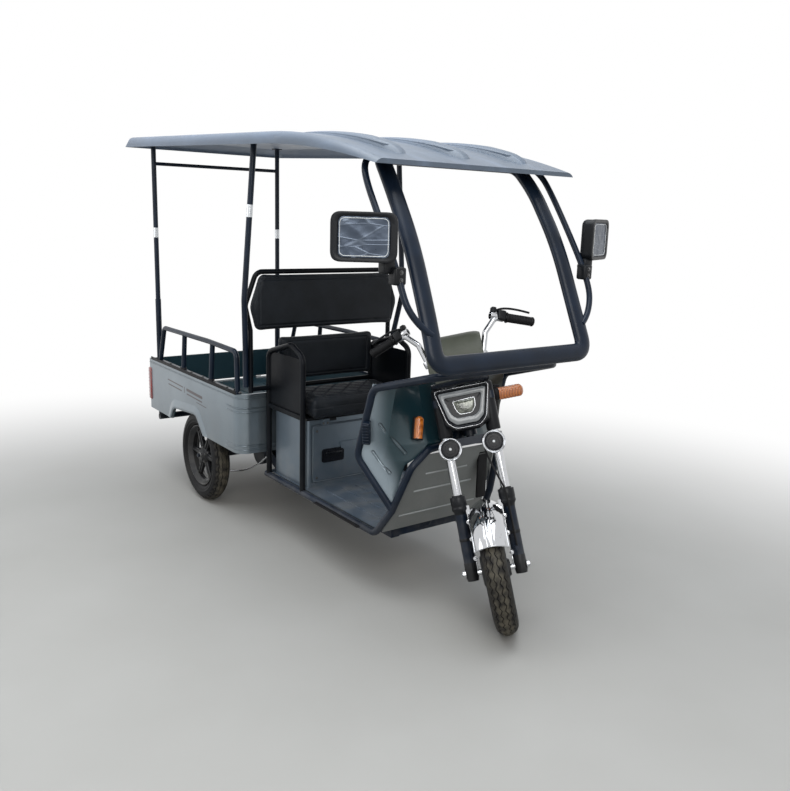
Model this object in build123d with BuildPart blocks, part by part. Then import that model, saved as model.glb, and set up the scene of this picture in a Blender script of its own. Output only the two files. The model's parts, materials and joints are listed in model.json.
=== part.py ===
"""Electric dump tricycle: chassis, cab, canopy, steering, wheels and tipping bed.

Millimetres. +X points ahead, +Y to the rider's left and +Z up. The ground is Z = 0 and the
origin lies under the middle of the whole vehicle, as it stands with its fork turned right.
"""
import os
from math import cos, radians, sin, sqrt

from build123d import *

os.makedirs("parts", exist_ok=True)

# Running gear
wheelbase = 1861
rear_track = 674
tyre_radius = 233
tyre_width = 84
rim_radius = 155
axle_stub_diameter = 20
running_gap = 0.3

# Steering
rake = 20.9
steer_angle = 41
axle_lead = 49
leg_half_spacing = 88
stanchion_diameter = 33
slider_diameter = 44
slider_top = 272
lower_yoke_height = 470
upper_yoke_height = 622
yoke_thickness = 28
head_tube_diameter = 52
grip_height = 905
grip_reach = 312

# Frame and floor
rail_half_spacing = 165
rail_width = 40
rail_depth = 50
rear_rail_top = 350
floor_height = 290
floor_front = 1437
floor_half_width = 277
edge_tube_diameter = 28

# Seat
seat_box_front = 885
seat_box_top = 590
seat_box_wall = 3
seat_frame_half_width = 277
seat_frame_tube = 25
armrest_height = 900
cushion_thickness = 95
backrest_half_width = 370
backrest_top = 1215

# Load bed
bed_rear = -567
bed_front = 545
bed_half_width = 409
bed_top = 654
bed_floor_top = 490
skirt_bottom = 376
bed_wall = 12
bed_corner_radius = 60
rail_height = 855
floor_sheet = 8
bearer_half_spacing = 120
bearer_depth = 40
bed_hinge_x = -500
bed_hinge_height = 385
hinge_pin_radius = 9

# Canopy
roof_rear = -700
roof_front = 1640
roof_half_width = 462
roof_rim_rear = 1775
roof_rim_nose = 1712
roof_rim_front = 1618
nose_start = 905
roof_shoulder = 60
roof_rise = 48
roof_wall = 5
post_diameter = 25
rear_post_x = -530
rear_post_half_spacing = 364
mid_post_x = 625
mid_post_half_spacing = 370

# Mirrors
mirror_half_spacing = 545
mirror_width = 205
mirror_height = 150

# Placing along X: the roof's tail lies behind the rear axle and the turned tyre lies foremost
fork_up = Vector(-sin(radians(rake)), 0, cos(radians(rake)))
fork_ahead = Vector(cos(radians(rake)), 0, sin(radians(rake)))
wheel_axis_x = sin(radians(steer_angle)) * cos(radians(rake))
wheel_axis_z = sin(radians(steer_angle)) * sin(radians(rake))
crown_radius = tyre_width / 2
crown_ring = tyre_radius - crown_radius
wheel_reach = crown_ring * sqrt(1 - wheel_axis_x**2) + crown_radius
wheel_drop = crown_ring * sqrt(1 - wheel_axis_z**2) + crown_radius
turned_lead_x = axle_lead * cos(radians(steer_angle)) * cos(radians(rake))
turned_lead_z = axle_lead * cos(radians(steer_angle)) * sin(radians(rake))
straight_lead_x = axle_lead * cos(radians(rake))
steering_foot_z = wheel_drop - turned_lead_z
turned_wheel_x = wheelbase - straight_lead_x + turned_lead_x
overall_length = turned_wheel_x + wheel_reach - roof_rear
ax = -roof_rear - overall_length / 2

steering_plane = Plane(
    origin=(ax + wheelbase - straight_lead_x, 0, steering_foot_z),
    x_dir=fork_ahead.rotate(Axis((0, 0, 0), fork_up), -steer_angle),
    z_dir=fork_up,
)
steering_place = steering_plane.location
front_wheel_place = Plane(
    origin=steering_plane.from_local_coords(Vector(axle_lead, 0, 0)),
    x_dir=steering_plane.x_dir,
    z_dir=steering_plane.y_dir,
).location
rear_axle_height = tyre_radius
wheel_centre_y = rear_track / 2
left_wheel_place = Location(Plane(origin=(ax, wheel_centre_y, rear_axle_height), x_dir=(1, 0, 0), z_dir=(0, 1, 0)))
right_wheel_place = Location(Plane(origin=(ax, -wheel_centre_y, rear_axle_height), x_dir=(1, 0, 0), z_dir=(0, -1, 0)))


def save(piece, label, place=Location()):
    """Name a finished piece, put it in its place and write it."""
    shape = place * piece.part
    shape.label = label
    export_step(shape, f"parts/{label}.step")


def tube(points, bend, diameter, closed=False):
    """Add a round tube along straight runs that are joined by bends."""
    with BuildLine() as route:
        if len(points) > 2:
            FilletPolyline(*points, radius=bend, close=closed)
        else:
            Line(*points)
    with BuildSketch(Plane(origin=route.line @ 0, z_dir=route.line % 0)) as section:
        Circle(diameter / 2)
    sweep(sections=section.sketch, path=route.line)


def both_sides(points):
    """Give a run of points on the left and its mirror image on the right."""
    return points, [(x, -y, z) for x, y, z in points]


# Chassis frame: two stepped rails, cross members, outriggers for the rear posts, the bed's hinge
# ears and rests, neck and steering head
bearer_low = bed_floor_top - floor_sheet - bearer_depth
ear_thickness = 12
ear_y = rail_half_spacing - rail_width / 2 + ear_thickness / 2 - 2
ear_top = bed_hinge_height + 2 * hinge_pin_radius
lug_thickness = 12
lug_y = ear_y - ear_thickness / 2 - lug_thickness / 2 - 5
bed_rest_x = 330
rail_step_rear = ax + 400
rail_step_front = ax + 530
rail_rear = ax + bed_rear + 12
rail_front = ax + floor_front - 20
front_rail_top = floor_height - 10
head_low = lower_yoke_height + yoke_thickness / 2 + 6
head_high = upper_yoke_height - yoke_thickness / 2 - 6
head_middle = steering_plane.from_local_coords(Vector(0, 0, (head_low + head_high) / 2))
outrigger_z = rear_rail_top - rail_depth / 2
with BuildPart() as chassis_frame:
    for side in (-1, 1):
        with BuildSketch(Plane.XZ.offset(-side * rail_half_spacing)):
            with BuildLine():
                Polyline(
                    (rail_rear, rear_rail_top),
                    (rail_step_rear, rear_rail_top),
                    (rail_step_front, front_rail_top),
                    (rail_front, front_rail_top),
                    (rail_front, front_rail_top - rail_depth),
                    (rail_step_front - 12, front_rail_top - rail_depth),
                    (rail_step_rear - 12, rear_rail_top - rail_depth),
                    (rail_rear, rear_rail_top - rail_depth),
                    close=True,
                )
            make_face()
        extrude(amount=rail_width / 2, both=True)
    for cross_x, cross_top in (
        (rail_rear + 20, rear_rail_top),
        (ax + bed_rest_x, rear_rail_top),
        (ax + 560, front_rail_top),
        (ax + 900, front_rail_top),
        (rail_front - 20, front_rail_top),
    ):
        with Locations((cross_x, 0, cross_top - rail_depth / 2)):
            Box(rail_width, 2 * rail_half_spacing, rail_depth - 8)
    for side in (-1, 1):
        tube(
            [
                (ax + rear_post_x, side * rail_half_spacing, outrigger_z),
                (ax + rear_post_x, side * (rear_post_half_spacing + post_diameter / 2), outrigger_z),
            ],
            0,
            post_diameter + 8,
        )
        with Locations((ax + bed_hinge_x, side * ear_y, rear_rail_top - 12)):
            Box(44, ear_thickness, ear_top - rear_rail_top + 12, align=(Align.CENTER, Align.CENTER, Align.MIN))
        with BuildSketch(Plane.XZ.offset(-side * ear_y)):
            with Locations((ax + bed_hinge_x, bed_hinge_height)):
                Circle(hinge_pin_radius)
        extrude(amount=side * (ear_y - lug_y + lug_thickness / 2 + 4))
        with Locations((ax + bed_rest_x, side * bearer_half_spacing, rear_rail_top - 12)):
            Box(36, 36, bearer_low - running_gap - rear_rail_top + 12, align=(Align.CENTER, Align.CENTER, Align.MIN))
    tube(
        [
            (rail_front - 20, 0, front_rail_top - rail_depth / 2),
            (ax + 1500, 0, 520),
            (head_middle.X - 5, 0, head_middle.Z + 12),
        ],
        120,
        46,
    )
    with BuildSketch(Plane(origin=steering_plane.from_local_coords(Vector(0, 0, head_low)), z_dir=fork_up)):
        Circle(head_tube_diameter / 2)
    extrude(amount=head_high - head_low)
    with BuildSketch(Plane(origin=steering_plane.from_local_coords(Vector(0, 0, head_low)), z_dir=fork_up)):
        Circle(stanchion_diameter / 2)
    extrude(amount=head_high - head_low, mode=Mode.SUBTRACT)
save(chassis_frame, "chassis_frame")

# Rear axle: housing with its gear case and drive motor, spring seats and the stubs for the wheels
motor_radius = 62
hub_inner_y = wheel_centre_y - 34
hub_outer_y = wheel_centre_y + 30
spring_y = rail_half_spacing + 50
with BuildPart() as rear_axle:
    with BuildSketch(Plane.XZ.offset(-(hub_inner_y - running_gap))):
        with Locations((ax, rear_axle_height)):
            Circle(27)
    extrude(amount=2 * (hub_inner_y - running_gap))
    with BuildSketch(Plane.XZ.offset(-62)):
        with Locations((ax, rear_axle_height)):
            Circle(72)
    extrude(amount=90)
    chamfer(rear_axle.edges().filter_by(GeomType.CIRCLE).group_by(SortBy.RADIUS)[-1], length=12)
    with BuildSketch(Plane.XZ.offset(-60)):
        with Locations((ax + 66 + motor_radius, rear_axle_height + 6)):
            Circle(motor_radius)
    extrude(amount=160)
    for side in (-1, 1):
        with Locations((ax, side * spring_y, rear_axle_height + 30)):
            Box(90, 52, 8)
        with BuildSketch(Plane.XZ.offset(-side * (hub_inner_y - 6))):
            with Locations((ax, rear_axle_height)):
                Circle(axle_stub_diameter / 2 - running_gap)
        extrude(amount=-side * (hub_outer_y - hub_inner_y + 20))
save(rear_axle, "rear_axle")

# Leaf springs: stacked leaves, eyes and the pins that hold them to the rails
spring_half_length = 285
spring_width = 44
leaf_thickness = 7
spring_seat_top = rear_axle_height + 34
spring_eye_height = rear_rail_top - 22
with BuildPart() as leaf_springs:
    for side in (-1, 1):
        for leaf, half_length in enumerate((spring_half_length, 215, 140)):
            camber = (spring_eye_height - spring_seat_top - 21) * (half_length / spring_half_length) ** 2
            low = spring_seat_top + (2 - leaf) * leaf_thickness
            with BuildSketch(Plane.XZ.offset(-side * spring_y)):
                with BuildLine():
                    under = ThreePointArc(
                        (ax - half_length, low + camber), (ax, low), (ax + half_length, low + camber)
                    )
                    over = ThreePointArc(
                        (ax - half_length, low + camber + leaf_thickness),
                        (ax, low + leaf_thickness),
                        (ax + half_length, low + camber + leaf_thickness),
                    )
                    Line(under @ 0, over @ 0)
                    Line(under @ 1, over @ 1)
                make_face()
            extrude(amount=spring_width / 2, both=True)
        for end in (-1, 1):
            with BuildSketch(Plane.XZ.offset(-side * spring_y)):
                with Locations((ax + end * spring_half_length, spring_eye_height + 4)):
                    Circle(15)
            extrude(amount=spring_width / 2, both=True)
            with BuildSketch(Plane.XZ.offset(-side * (rail_half_spacing + rail_width / 2))):
                with Locations((ax + end * spring_half_length, spring_eye_height + 4)):
                    Circle(7)
            extrude(amount=-side * (spring_y - rail_half_spacing))
save(leaf_springs, "leaf_springs")

# Battery: one plain heavy block under the seat
battery_height = 165
seat_box_rear = seat_box_front - 270
with BuildPart() as battery_pack:
    with Locations((ax + (seat_box_front + seat_box_rear) / 2, 0, floor_height + seat_box_wall)):
        Box(225, 420, battery_height, align=(Align.CENTER, Align.CENTER, Align.MIN))
save(battery_pack, "battery_pack")

# Guard frame: floor edge tubes that rise to the neck, and the hoop that carries the leg shield
floor_rear = 560
edge_z = floor_height - edge_tube_diameter / 2
hoop_points = [
    (ax + 1500, -247, 384),
    (ax + 1388, -333, 578),
    (ax + 1468, -323, 848),
    (ax + 1778, -292, 940),
]
with BuildPart() as guard_frame:
    for edge in both_sides([
        (ax + floor_rear, floor_half_width, edge_z),
        (ax + floor_front, floor_half_width, edge_z),
        (ax + 1500, 247, 380),
        (ax + 1566, 214, 560),
        (ax + 1570, 140, 620),
        (ax + 1564, 8, 630),
    ]):
        tube(edge, 40, edge_tube_diameter)
    tube(hoop_points + [(x, -y, z) for x, y, z in reversed(hoop_points)], 55, edge_tube_diameter)
    add(chassis_frame.part, mode=Mode.SUBTRACT)
save(guard_frame, "guard_frame")

# Floor pan: pressed sheet with raised ribs, between the edge tubes
pan_thickness = 4
rib_height = 3
pan_half_width = floor_half_width - edge_tube_diameter / 2
with BuildPart() as floor_pan:
    with BuildSketch(Plane.XY.offset(floor_height - pan_thickness)):
        with Locations((ax + (floor_rear + floor_front) / 2, 0)):
            Rectangle(floor_front - floor_rear, 2 * pan_half_width)
    extrude(amount=pan_thickness)
    with BuildSketch(Plane.XY.offset(floor_height)):
        with Locations((ax + (seat_box_front + floor_front) / 2, 0)):
            with GridLocations(0, 74, 1, 6):
                SlotOverall(floor_front - seat_box_front - 130, 22)
    extrude(amount=rib_height)
    add(guard_frame.part, mode=Mode.SUBTRACT)
    add(chassis_frame.part, mode=Mode.SUBTRACT)
save(floor_pan, "floor_pan")

# Leg shield: a pressing inside the hoop that bulges ahead of each knee and falls back in the middle
# to leave the steering its room; the rising edge tubes bound it below
shield_wall = 4
shield_sections = (
    # height, side x, side y, bulge x, bulge y, recess x, recess y
    (400, 1484, 258, 1506, 240, 1512, 200),
    (578, 1388, 333, 1484, 282, 1550, 180),
    (640, 1404, 332, 1494, 276, 1562, 140),
    (866, 1470, 324, 1526, 262, 1454, 112),
)
with BuildPart() as leg_shield:
    for height, side_x, side_y, bulge_x, bulge_y, recess_x, recess_y in shield_sections:
        with BuildSketch(Plane.XY.offset(height)):
            with BuildLine():
                face = Polyline(
                    (ax + side_x, -side_y),
                    (ax + bulge_x, -bulge_y),
                    (ax + recess_x, -recess_y),
                    (ax + recess_x, recess_y),
                    (ax + bulge_x, bulge_y),
                    (ax + side_x, side_y),
                )
                back = Polyline(
                    (ax + side_x - shield_wall, -side_y),
                    (ax + bulge_x - shield_wall, -bulge_y),
                    (ax + recess_x - shield_wall, -recess_y),
                    (ax + recess_x - shield_wall, recess_y),
                    (ax + bulge_x - shield_wall, bulge_y),
                    (ax + side_x - shield_wall, side_y),
                )
                Line(face @ 0, back @ 0)
                Line(face @ 1, back @ 1)
            make_face()
    loft(ruled=True)
    with BuildSketch(Plane.YZ.offset(ax + 1300)):
        with BuildLine():
            Polyline((-254, 340), (-214, 560), (-140, 622), (140, 622), (214, 560), (254, 340), close=True)
        make_face()
    extrude(amount=500, mode=Mode.SUBTRACT)
    add(guard_frame.part, mode=Mode.SUBTRACT)
    add(chassis_frame.part, mode=Mode.SUBTRACT)
save(leg_shield, "leg_shield")

# Front apron: the leaning panel between the two rising edge tubes
apron_lean = 21
apron_height = 345
apron_plane = Plane(
    origin=(ax + floor_front + 6, 0, floor_height - 14),
    x_dir=(0, 1, 0),
    z_dir=(cos(radians(apron_lean)), 0, -sin(radians(apron_lean))),
)
with BuildPart() as front_apron:
    with BuildSketch(apron_plane):
        with BuildLine():
            Polyline(
                (-248, 0),
                (-206, apron_height - 55),
                (-172, apron_height),
                (172, apron_height),
                (206, apron_height - 55),
                (248, 0),
                close=True,
            )
        make_face()
    extrude(amount=-shield_wall)
    add(guard_frame.part, mode=Mode.SUBTRACT)
    add(chassis_frame.part, mode=Mode.SUBTRACT)
save(front_apron, "front_apron")

# Seat box: open-topped shell with rounded front corners, a handle plate and the seat's hinge pins
box_half_width = seat_frame_half_width - seat_frame_tube / 2 - 6
seat_hinge_x = seat_box_front + 8
seat_hinge_height = seat_box_top - 2
seat_knuckle_radius = 6
seat_pin_radius = 3
knuckle_length = 34
seat_knuckle_y = 150
with BuildPart() as seat_box:
    with BuildSketch(Plane.XY.offset(floor_height)):
        with Locations((ax + (seat_box_front + seat_box_rear) / 2, 0)):
            Rectangle(seat_box_front - seat_box_rear, 2 * box_half_width)
    extrude(amount=seat_box_top - floor_height)
    fillet(seat_box.edges().filter_by(Axis.Z).sort_by(Axis.X)[-2:], radius=22)
    offset(amount=-seat_box_wall, openings=seat_box.faces().sort_by(Axis.Z)[-1])
    with Locations((ax + seat_box_front, -30, floor_height + 172)):
        Box(6, 110, 34, align=(Align.MIN, Align.CENTER, Align.CENTER))
    for side in (-1, 1):
        for radius, low, high in (
            (seat_knuckle_radius, seat_knuckle_y, seat_knuckle_y + knuckle_length),
            (seat_pin_radius, seat_knuckle_y - knuckle_length, seat_knuckle_y + 1),
        ):
            with BuildSketch(Plane.XZ.offset(-side * low)):
                with Locations((ax + seat_hinge_x, seat_hinge_height)):
                    Circle(radius)
            extrude(amount=-side * (high - low))
        with Locations((ax + seat_box_front, side * (seat_knuckle_y + knuckle_length / 2), seat_hinge_height)):
            Box(8, knuckle_length, 22, align=(Align.MIN, Align.CENTER, Align.MAX))
save(seat_box, "seat_box")

# Seat side frames: arched armrest tubes with a cross rail and a closing plate, and the bent
# backrest tube that stands on a cross tube between their rear posts
frame_rear = 583
frame_front = 887
backrest_x = 600
backrest_tube = 22
leg_foot = bed_top + 18
lower_pad_height = 820
with BuildPart() as seat_frame:
    for side in (-1, 1):
        y = side * seat_frame_half_width
        tube(
            [
                (ax + frame_rear, y, edge_z),
                (ax + frame_rear, y, armrest_height - 50),
                (ax + frame_rear + 205, y, armrest_height + 8),
                (ax + frame_front, y, armrest_height - 34),
                (ax + frame_front, y, edge_z),
            ],
            48,
            seat_frame_tube,
        )
        with Locations((ax + (frame_rear + frame_front) / 2, y, seat_box_top + 18)):
            Box(frame_front - frame_rear, 20, 20)
        with Locations((ax + (frame_rear + frame_front) / 2, y, (seat_box_top + armrest_height) / 2 - 20)):
            Box(frame_front - frame_rear, 3, armrest_height - seat_box_top - 50)
    tube(
        [
            (ax + backrest_x - 11, -backrest_half_width, leg_foot),
            (ax + backrest_x - 11, -backrest_half_width, 950),
            (ax + backrest_x - 11, -backrest_half_width - 24, 1060),
            (ax + backrest_x - 11, -backrest_half_width + 30, backrest_top - 11),
            (ax + backrest_x - 11, backrest_half_width - 30, backrest_top - 11),
            (ax + backrest_x - 11, backrest_half_width + 24, 1060),
            (ax + backrest_x - 11, backrest_half_width, 950),
            (ax + backrest_x - 11, backrest_half_width, leg_foot),
        ],
        42,
        backrest_tube,
    )
    for cross_z, cross_half in ((leg_foot + 14, backrest_half_width), (lower_pad_height, seat_frame_half_width)):
        tube(
            [(ax + backrest_x - 11, -cross_half, cross_z), (ax + backrest_x - 11, cross_half, cross_z)],
            0,
            backrest_tube,
        )
    add(guard_frame.part, mode=Mode.SUBTRACT)
save(seat_frame, "seat_frame")

# Seat base and cushion, which tip forward together on the hinge at the box's front edge
base_thickness = 10
cushion_low = seat_box_top + running_gap + base_thickness
base_front = seat_box_front - 4
base_rear = seat_box_rear + 15
with BuildPart() as seat_base:
    with Locations((ax + base_rear, 0, seat_box_top + running_gap)):
        Box(
            base_front - base_rear,
            2 * box_half_width - 8,
            base_thickness,
            align=(Align.MIN, Align.CENTER, Align.MIN),
        )
    for side in (-1, 1):
        leaf_y = side * (seat_knuckle_y - knuckle_length / 2 - running_gap)
        with Locations((ax + base_front, leaf_y, seat_box_top + running_gap)):
            Box(seat_hinge_x - base_front, knuckle_length, 6, align=(Align.MIN, Align.CENTER, Align.MIN))
        with BuildSketch(Plane.XZ.offset(-side * (seat_knuckle_y - running_gap))):
            with Locations((ax + seat_hinge_x, seat_hinge_height)):
                Circle(seat_knuckle_radius)
        extrude(amount=side * knuckle_length)
        with BuildSketch(Plane.XZ.offset(-side * (seat_knuckle_y + 5))):
            with Locations((ax + seat_hinge_x, seat_hinge_height)):
                Circle(seat_pin_radius + running_gap)
        extrude(amount=side * (knuckle_length + 10), mode=Mode.SUBTRACT)
save(seat_base, "seat_base")

cushion_rear = 652
cushion_front = 940
with BuildPart() as seat_cushion:
    with BuildSketch(Plane.XY.offset(cushion_low)):
        with Locations((ax + (cushion_rear + cushion_front) / 2, 0)):
            RectangleRounded(cushion_front - cushion_rear, 2 * box_half_width, 30)
    extrude(amount=cushion_thickness)
    fillet(seat_cushion.faces().sort_by(Axis.Z)[-1].edges(), radius=18)
save(seat_cushion, "seat_cushion")

# Backrest pads: a long upper one and a lower one behind the cushion
pad_thickness = 42
with BuildPart() as backrest_pads:
    with BuildSketch(Plane.YZ.offset(ax + backrest_x + running_gap)):
        with BuildLine():
            Polyline((-366, 944), (-390, 1050), (-340, 1194), (340, 1194), (390, 1050), (366, 944), close=True)
        make_face()
        fillet(vertices(), radius=24)
    extrude(amount=pad_thickness)
    with BuildSketch(Plane.YZ.offset(ax + backrest_x + running_gap)):
        with Locations((0, lower_pad_height)):
            RectangleRounded(2 * (seat_frame_half_width - 16), 220, 24)
    extrude(amount=pad_thickness)
save(backrest_pads, "backrest_pads")

# Canopy posts: the rear pair stands on the outriggers, the middle pair is bolted to the backrest
flange_radius = 30
flange_thickness = 4
post_sleeve_top = 980
post_bar_height = 1690
roof_fall = (roof_rim_rear - roof_rim_nose) / (nose_start - roof_rear - roof_shoulder)


def roof_underside(x):
    """Height of the roof's flat underside at a place along the vehicle."""
    return roof_rim_rear + roof_rise - roof_wall - roof_fall * (x - roof_rear - roof_shoulder)


rear_post_top = roof_underside(rear_post_x + flange_radius)
mid_post_top = roof_underside(mid_post_x + 15 + flange_radius)
with BuildPart() as canopy_posts:
    with Locations(
        (ax + rear_post_x, -rear_post_half_spacing, rear_post_top),
        (ax + rear_post_x, rear_post_half_spacing, rear_post_top),
        (ax + mid_post_x + 15, -mid_post_half_spacing, mid_post_top),
        (ax + mid_post_x + 15, mid_post_half_spacing, mid_post_top),
    ):
        Cylinder(flange_radius, flange_thickness, align=(Align.CENTER, Align.CENTER, Align.MAX))
    for side in (-1, 1):
        for radius, top in ((post_diameter / 2, rear_post_top), (post_diameter / 2 + 2.5, post_sleeve_top)):
            with BuildSketch(Plane.XY.offset(outrigger_z)):
                with Locations((ax + rear_post_x, side * rear_post_half_spacing)):
                    Circle(radius)
            extrude(amount=top - outrigger_z)
    tube(
        [
            (ax + rear_post_x, -rear_post_half_spacing, post_bar_height),
            (ax + rear_post_x, rear_post_half_spacing, post_bar_height),
        ],
        0,
        18,
    )
    for post in both_sides([
        (ax + mid_post_x + 15, mid_post_half_spacing, mid_post_top),
        (ax + mid_post_x + 9, mid_post_half_spacing + 50, 1090),
        (ax + backrest_x - 11, backrest_half_width + 24, 850),
        (ax + backrest_x - 11, backrest_half_width + 24, 700),
    ]):
        tube(post, 90, post_diameter)
    add(chassis_frame.part, mode=Mode.SUBTRACT)
    add(seat_frame.part, mode=Mode.SUBTRACT)
save(canopy_posts, "canopy_posts")

# Canopy roof: a moulded tray with a drooping nose and three raised ribs
roof_lip = 16
roof_edge_round = 38
rib_spacing = 285
rib_rise_angle = 1.5


def roof_form(inset):
    """The roof's outer form, or its hollow when the inset is its wall."""
    rear = ax + roof_rear + inset
    front = ax + roof_front - inset
    drop = 0 if inset == 0 else 2 * roof_lip
    side = roof_half_width - inset
    with BuildPart() as form:
        with BuildSketch(Plane.XZ.offset(-side)):
            with BuildLine():
                shoulder = (rear + roof_shoulder, roof_rim_rear + roof_rise - inset)
                crest = Line(shoulder, (ax + nose_start, roof_rim_nose + roof_rise - inset))
                nose = TangentArc(crest @ 1, (front, roof_rim_front + roof_lip - inset), tangent=crest % 1)
                rim = Line((rear, roof_rim_rear - drop), (ax + nose_start, roof_rim_nose - drop))
                rim_nose = TangentArc(rim @ 1, (front, roof_rim_front - drop), tangent=rim % 1)
                Line(nose @ 1, rim_nose @ 1)
                Polyline(rim @ 0, (rear, roof_rim_rear + roof_lip - inset), shoulder)
            make_face()
        extrude(amount=2 * side)
        top = form.faces().filter_by(lambda face: face.normal_at().Z > 0.5)
        long_edges = top.edges().filter_by(lambda edge: abs(abs(edge.center().Y) - side) < 0.01)
        fillet(long_edges, radius=roof_edge_round - inset)
    return form.part


with BuildPart() as roof_ribs:
    with BuildSketch(Plane.XY.offset(roof_rim_front)):
        with Locations((ax + nose_start - 60, 0)):
            with GridLocations(0, rib_spacing, 1, 3):
                SlotOverall(1330, 66)
        with Locations((ax + nose_start - 735, 0)):
            Rectangle(1330, 2 * roof_half_width, mode=Mode.SUBTRACT)
    extrude(amount=2 * roof_rise + roof_rim_nose - roof_rim_front)
    pivot = Pos(ax + nose_start - 60, 0, roof_rim_nose + roof_rise)
    add(pivot * Rot(0, -rib_rise_angle, 0) * pivot.inverse() * roof_form(0), mode=Mode.INTERSECT)
    add(roof_form(roof_wall), mode=Mode.SUBTRACT)
with BuildPart() as canopy_roof:
    add(roof_form(0))
    add(roof_ribs.part)
    add(roof_form(roof_wall), mode=Mode.SUBTRACT)
save(canopy_roof, "canopy_roof")

# Windscreen frame: a closed hoop of thick tube that leans back to the roof, with a side stay on
# each pillar that carries the mirror
stay_tube = 22
pillar_tube = 46
hoop_half = [
    (ax + 1472, 318, 1654),
    (ax + 1560, 334, 1560),
    (ax + 1690, 340, 1370),
    (ax + 1800, 344, 1120),
    (ax + 1852, 350, 992),
]
with BuildPart() as screen_frame:
    tube(hoop_half + [(x, -y, z) for x, y, z in reversed(hoop_half)], 52, pillar_tube, closed=True)
    for stay in both_sides([
        (ax + 1500, 358, 1650),
        (ax + 1540, 428, 1580),
        (ax + 1672, 432, 1388),
        (ax + 1768, 434, 1240),
        (ax + 1790, 430, 1180),
        (ax + 1830, 366, 1092),
    ]):
        tube(stay, 30, stay_tube)
    add(guard_frame.part, mode=Mode.SUBTRACT)
    add(canopy_roof.part, mode=Mode.SUBTRACT)
save(screen_frame, "screen_frame")

# Mirrors: shell, glass and a clamp on each stay, with the glass turned ahead and outward, the right
# one more than the left
mirror_x = 1716
mirror_z = 1390
mirror_turns = ((-1, 37), (1, 24))
mirror_depth = 46
mirror_planes = [
    Plane(
        origin=(ax + mirror_x, side * mirror_half_spacing, mirror_z),
        x_dir=(-side * sin(radians(turn)), cos(radians(turn)), 0),
        z_dir=(cos(radians(turn)), side * sin(radians(turn)), 0),
    )
    for side, turn in mirror_turns
]
with BuildPart() as mirror_shells:
    for plane in mirror_planes:
        with BuildSketch(plane):
            RectangleRounded(mirror_width, mirror_height, 24)
        extrude(amount=-mirror_depth)
        back = mirror_shells.faces().sort_by(lambda face: (face.center() - plane.origin).dot(plane.z_dir))
        backs = [face for face in back if (face.center() - plane.origin).length < mirror_depth + 1]
        fillet(backs[0].edges(), 18)
        with BuildSketch(plane.offset(-4)):
            RectangleRounded(mirror_width - 12, mirror_height - 12, 19)
        extrude(amount=4, mode=Mode.SUBTRACT)
    for arm in both_sides([
        (ax + mirror_x - 18, mirror_half_spacing - 60, mirror_z - 40),
        (ax + mirror_x - 12, 462, mirror_z - 86),
        (ax + 1722, 434, mirror_z - 98),
    ]):
        tube(arm, 20, 18)
    add(screen_frame.part, mode=Mode.SUBTRACT)
save(mirror_shells, "mirror_shells")

with BuildPart() as mirror_glasses:
    for plane in mirror_planes:
        with BuildSketch(plane.offset(-4)):
            RectangleRounded(mirror_width - 12, mirror_height - 12, 19)
        extrude(amount=3)
save(mirror_glasses, "mirror_glasses")

# Turn signals on the leg shield: the left one stands out, the right one hangs down
signal_lean = 12
with BuildPart() as turn_signals:
    with BuildSketch(Plane.XZ.offset(-290)):
        with Locations((ax + 1580, 806)):
            SlotOverall(48, 38)
    extrude(amount=84)
    with Locations((ax + 1538, 266, 806)):
        Box(44, 12, 20)
    with BuildSketch(
        Plane(
            origin=(ax + 1551.5, -196, 664),
            x_dir=(cos(radians(signal_lean)), 0, sin(radians(signal_lean))),
            z_dir=(-sin(radians(signal_lean)), 0, cos(radians(signal_lean))),
        )
    ):
        SlotOverall(50, 36)
    extrude(amount=80)
    add(leg_shield.part, mode=Mode.SUBTRACT)
save(turn_signals, "turn_signals")

# Fork yokes with the steering stem
with BuildPart() as fork_yokes:
    for height in (lower_yoke_height, upper_yoke_height):
        with BuildSketch(Plane.XY.offset(height - yoke_thickness / 2)):
            with BuildLine():
                Polyline(
                    (axle_lead - 26, -leg_half_spacing - 26),
                    (axle_lead + 26, -leg_half_spacing - 26),
                    (axle_lead + 26, leg_half_spacing + 26),
                    (axle_lead - 26, leg_half_spacing + 26),
                    (-30, 34),
                    (-30, -34),
                    close=True,
                )
            make_face()
            fillet(vertices(), radius=14)
            with Locations((axle_lead, -leg_half_spacing), (axle_lead, leg_half_spacing)):
                Circle(stanchion_diameter / 2, mode=Mode.SUBTRACT)
        extrude(amount=yoke_thickness)
    with BuildSketch(Plane.XY.offset(lower_yoke_height)):
        Circle(stanchion_diameter / 2 - running_gap)
    extrude(amount=grip_height - 70 - lower_yoke_height)
save(fork_yokes, "fork_yokes", steering_place)

# Fork legs: chromed stanchions in black sliders with dust collars and axle lugs
with BuildPart() as fork_stanchions:
    with BuildSketch(Plane.XY.offset(slider_top - 30)):
        with Locations((axle_lead, -leg_half_spacing), (axle_lead, leg_half_spacing)):
            Circle(stanchion_diameter / 2)
    extrude(amount=upper_yoke_height + yoke_thickness / 2 + 8 - slider_top + 30)
save(fork_stanchions, "fork_stanchions", steering_place)

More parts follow.
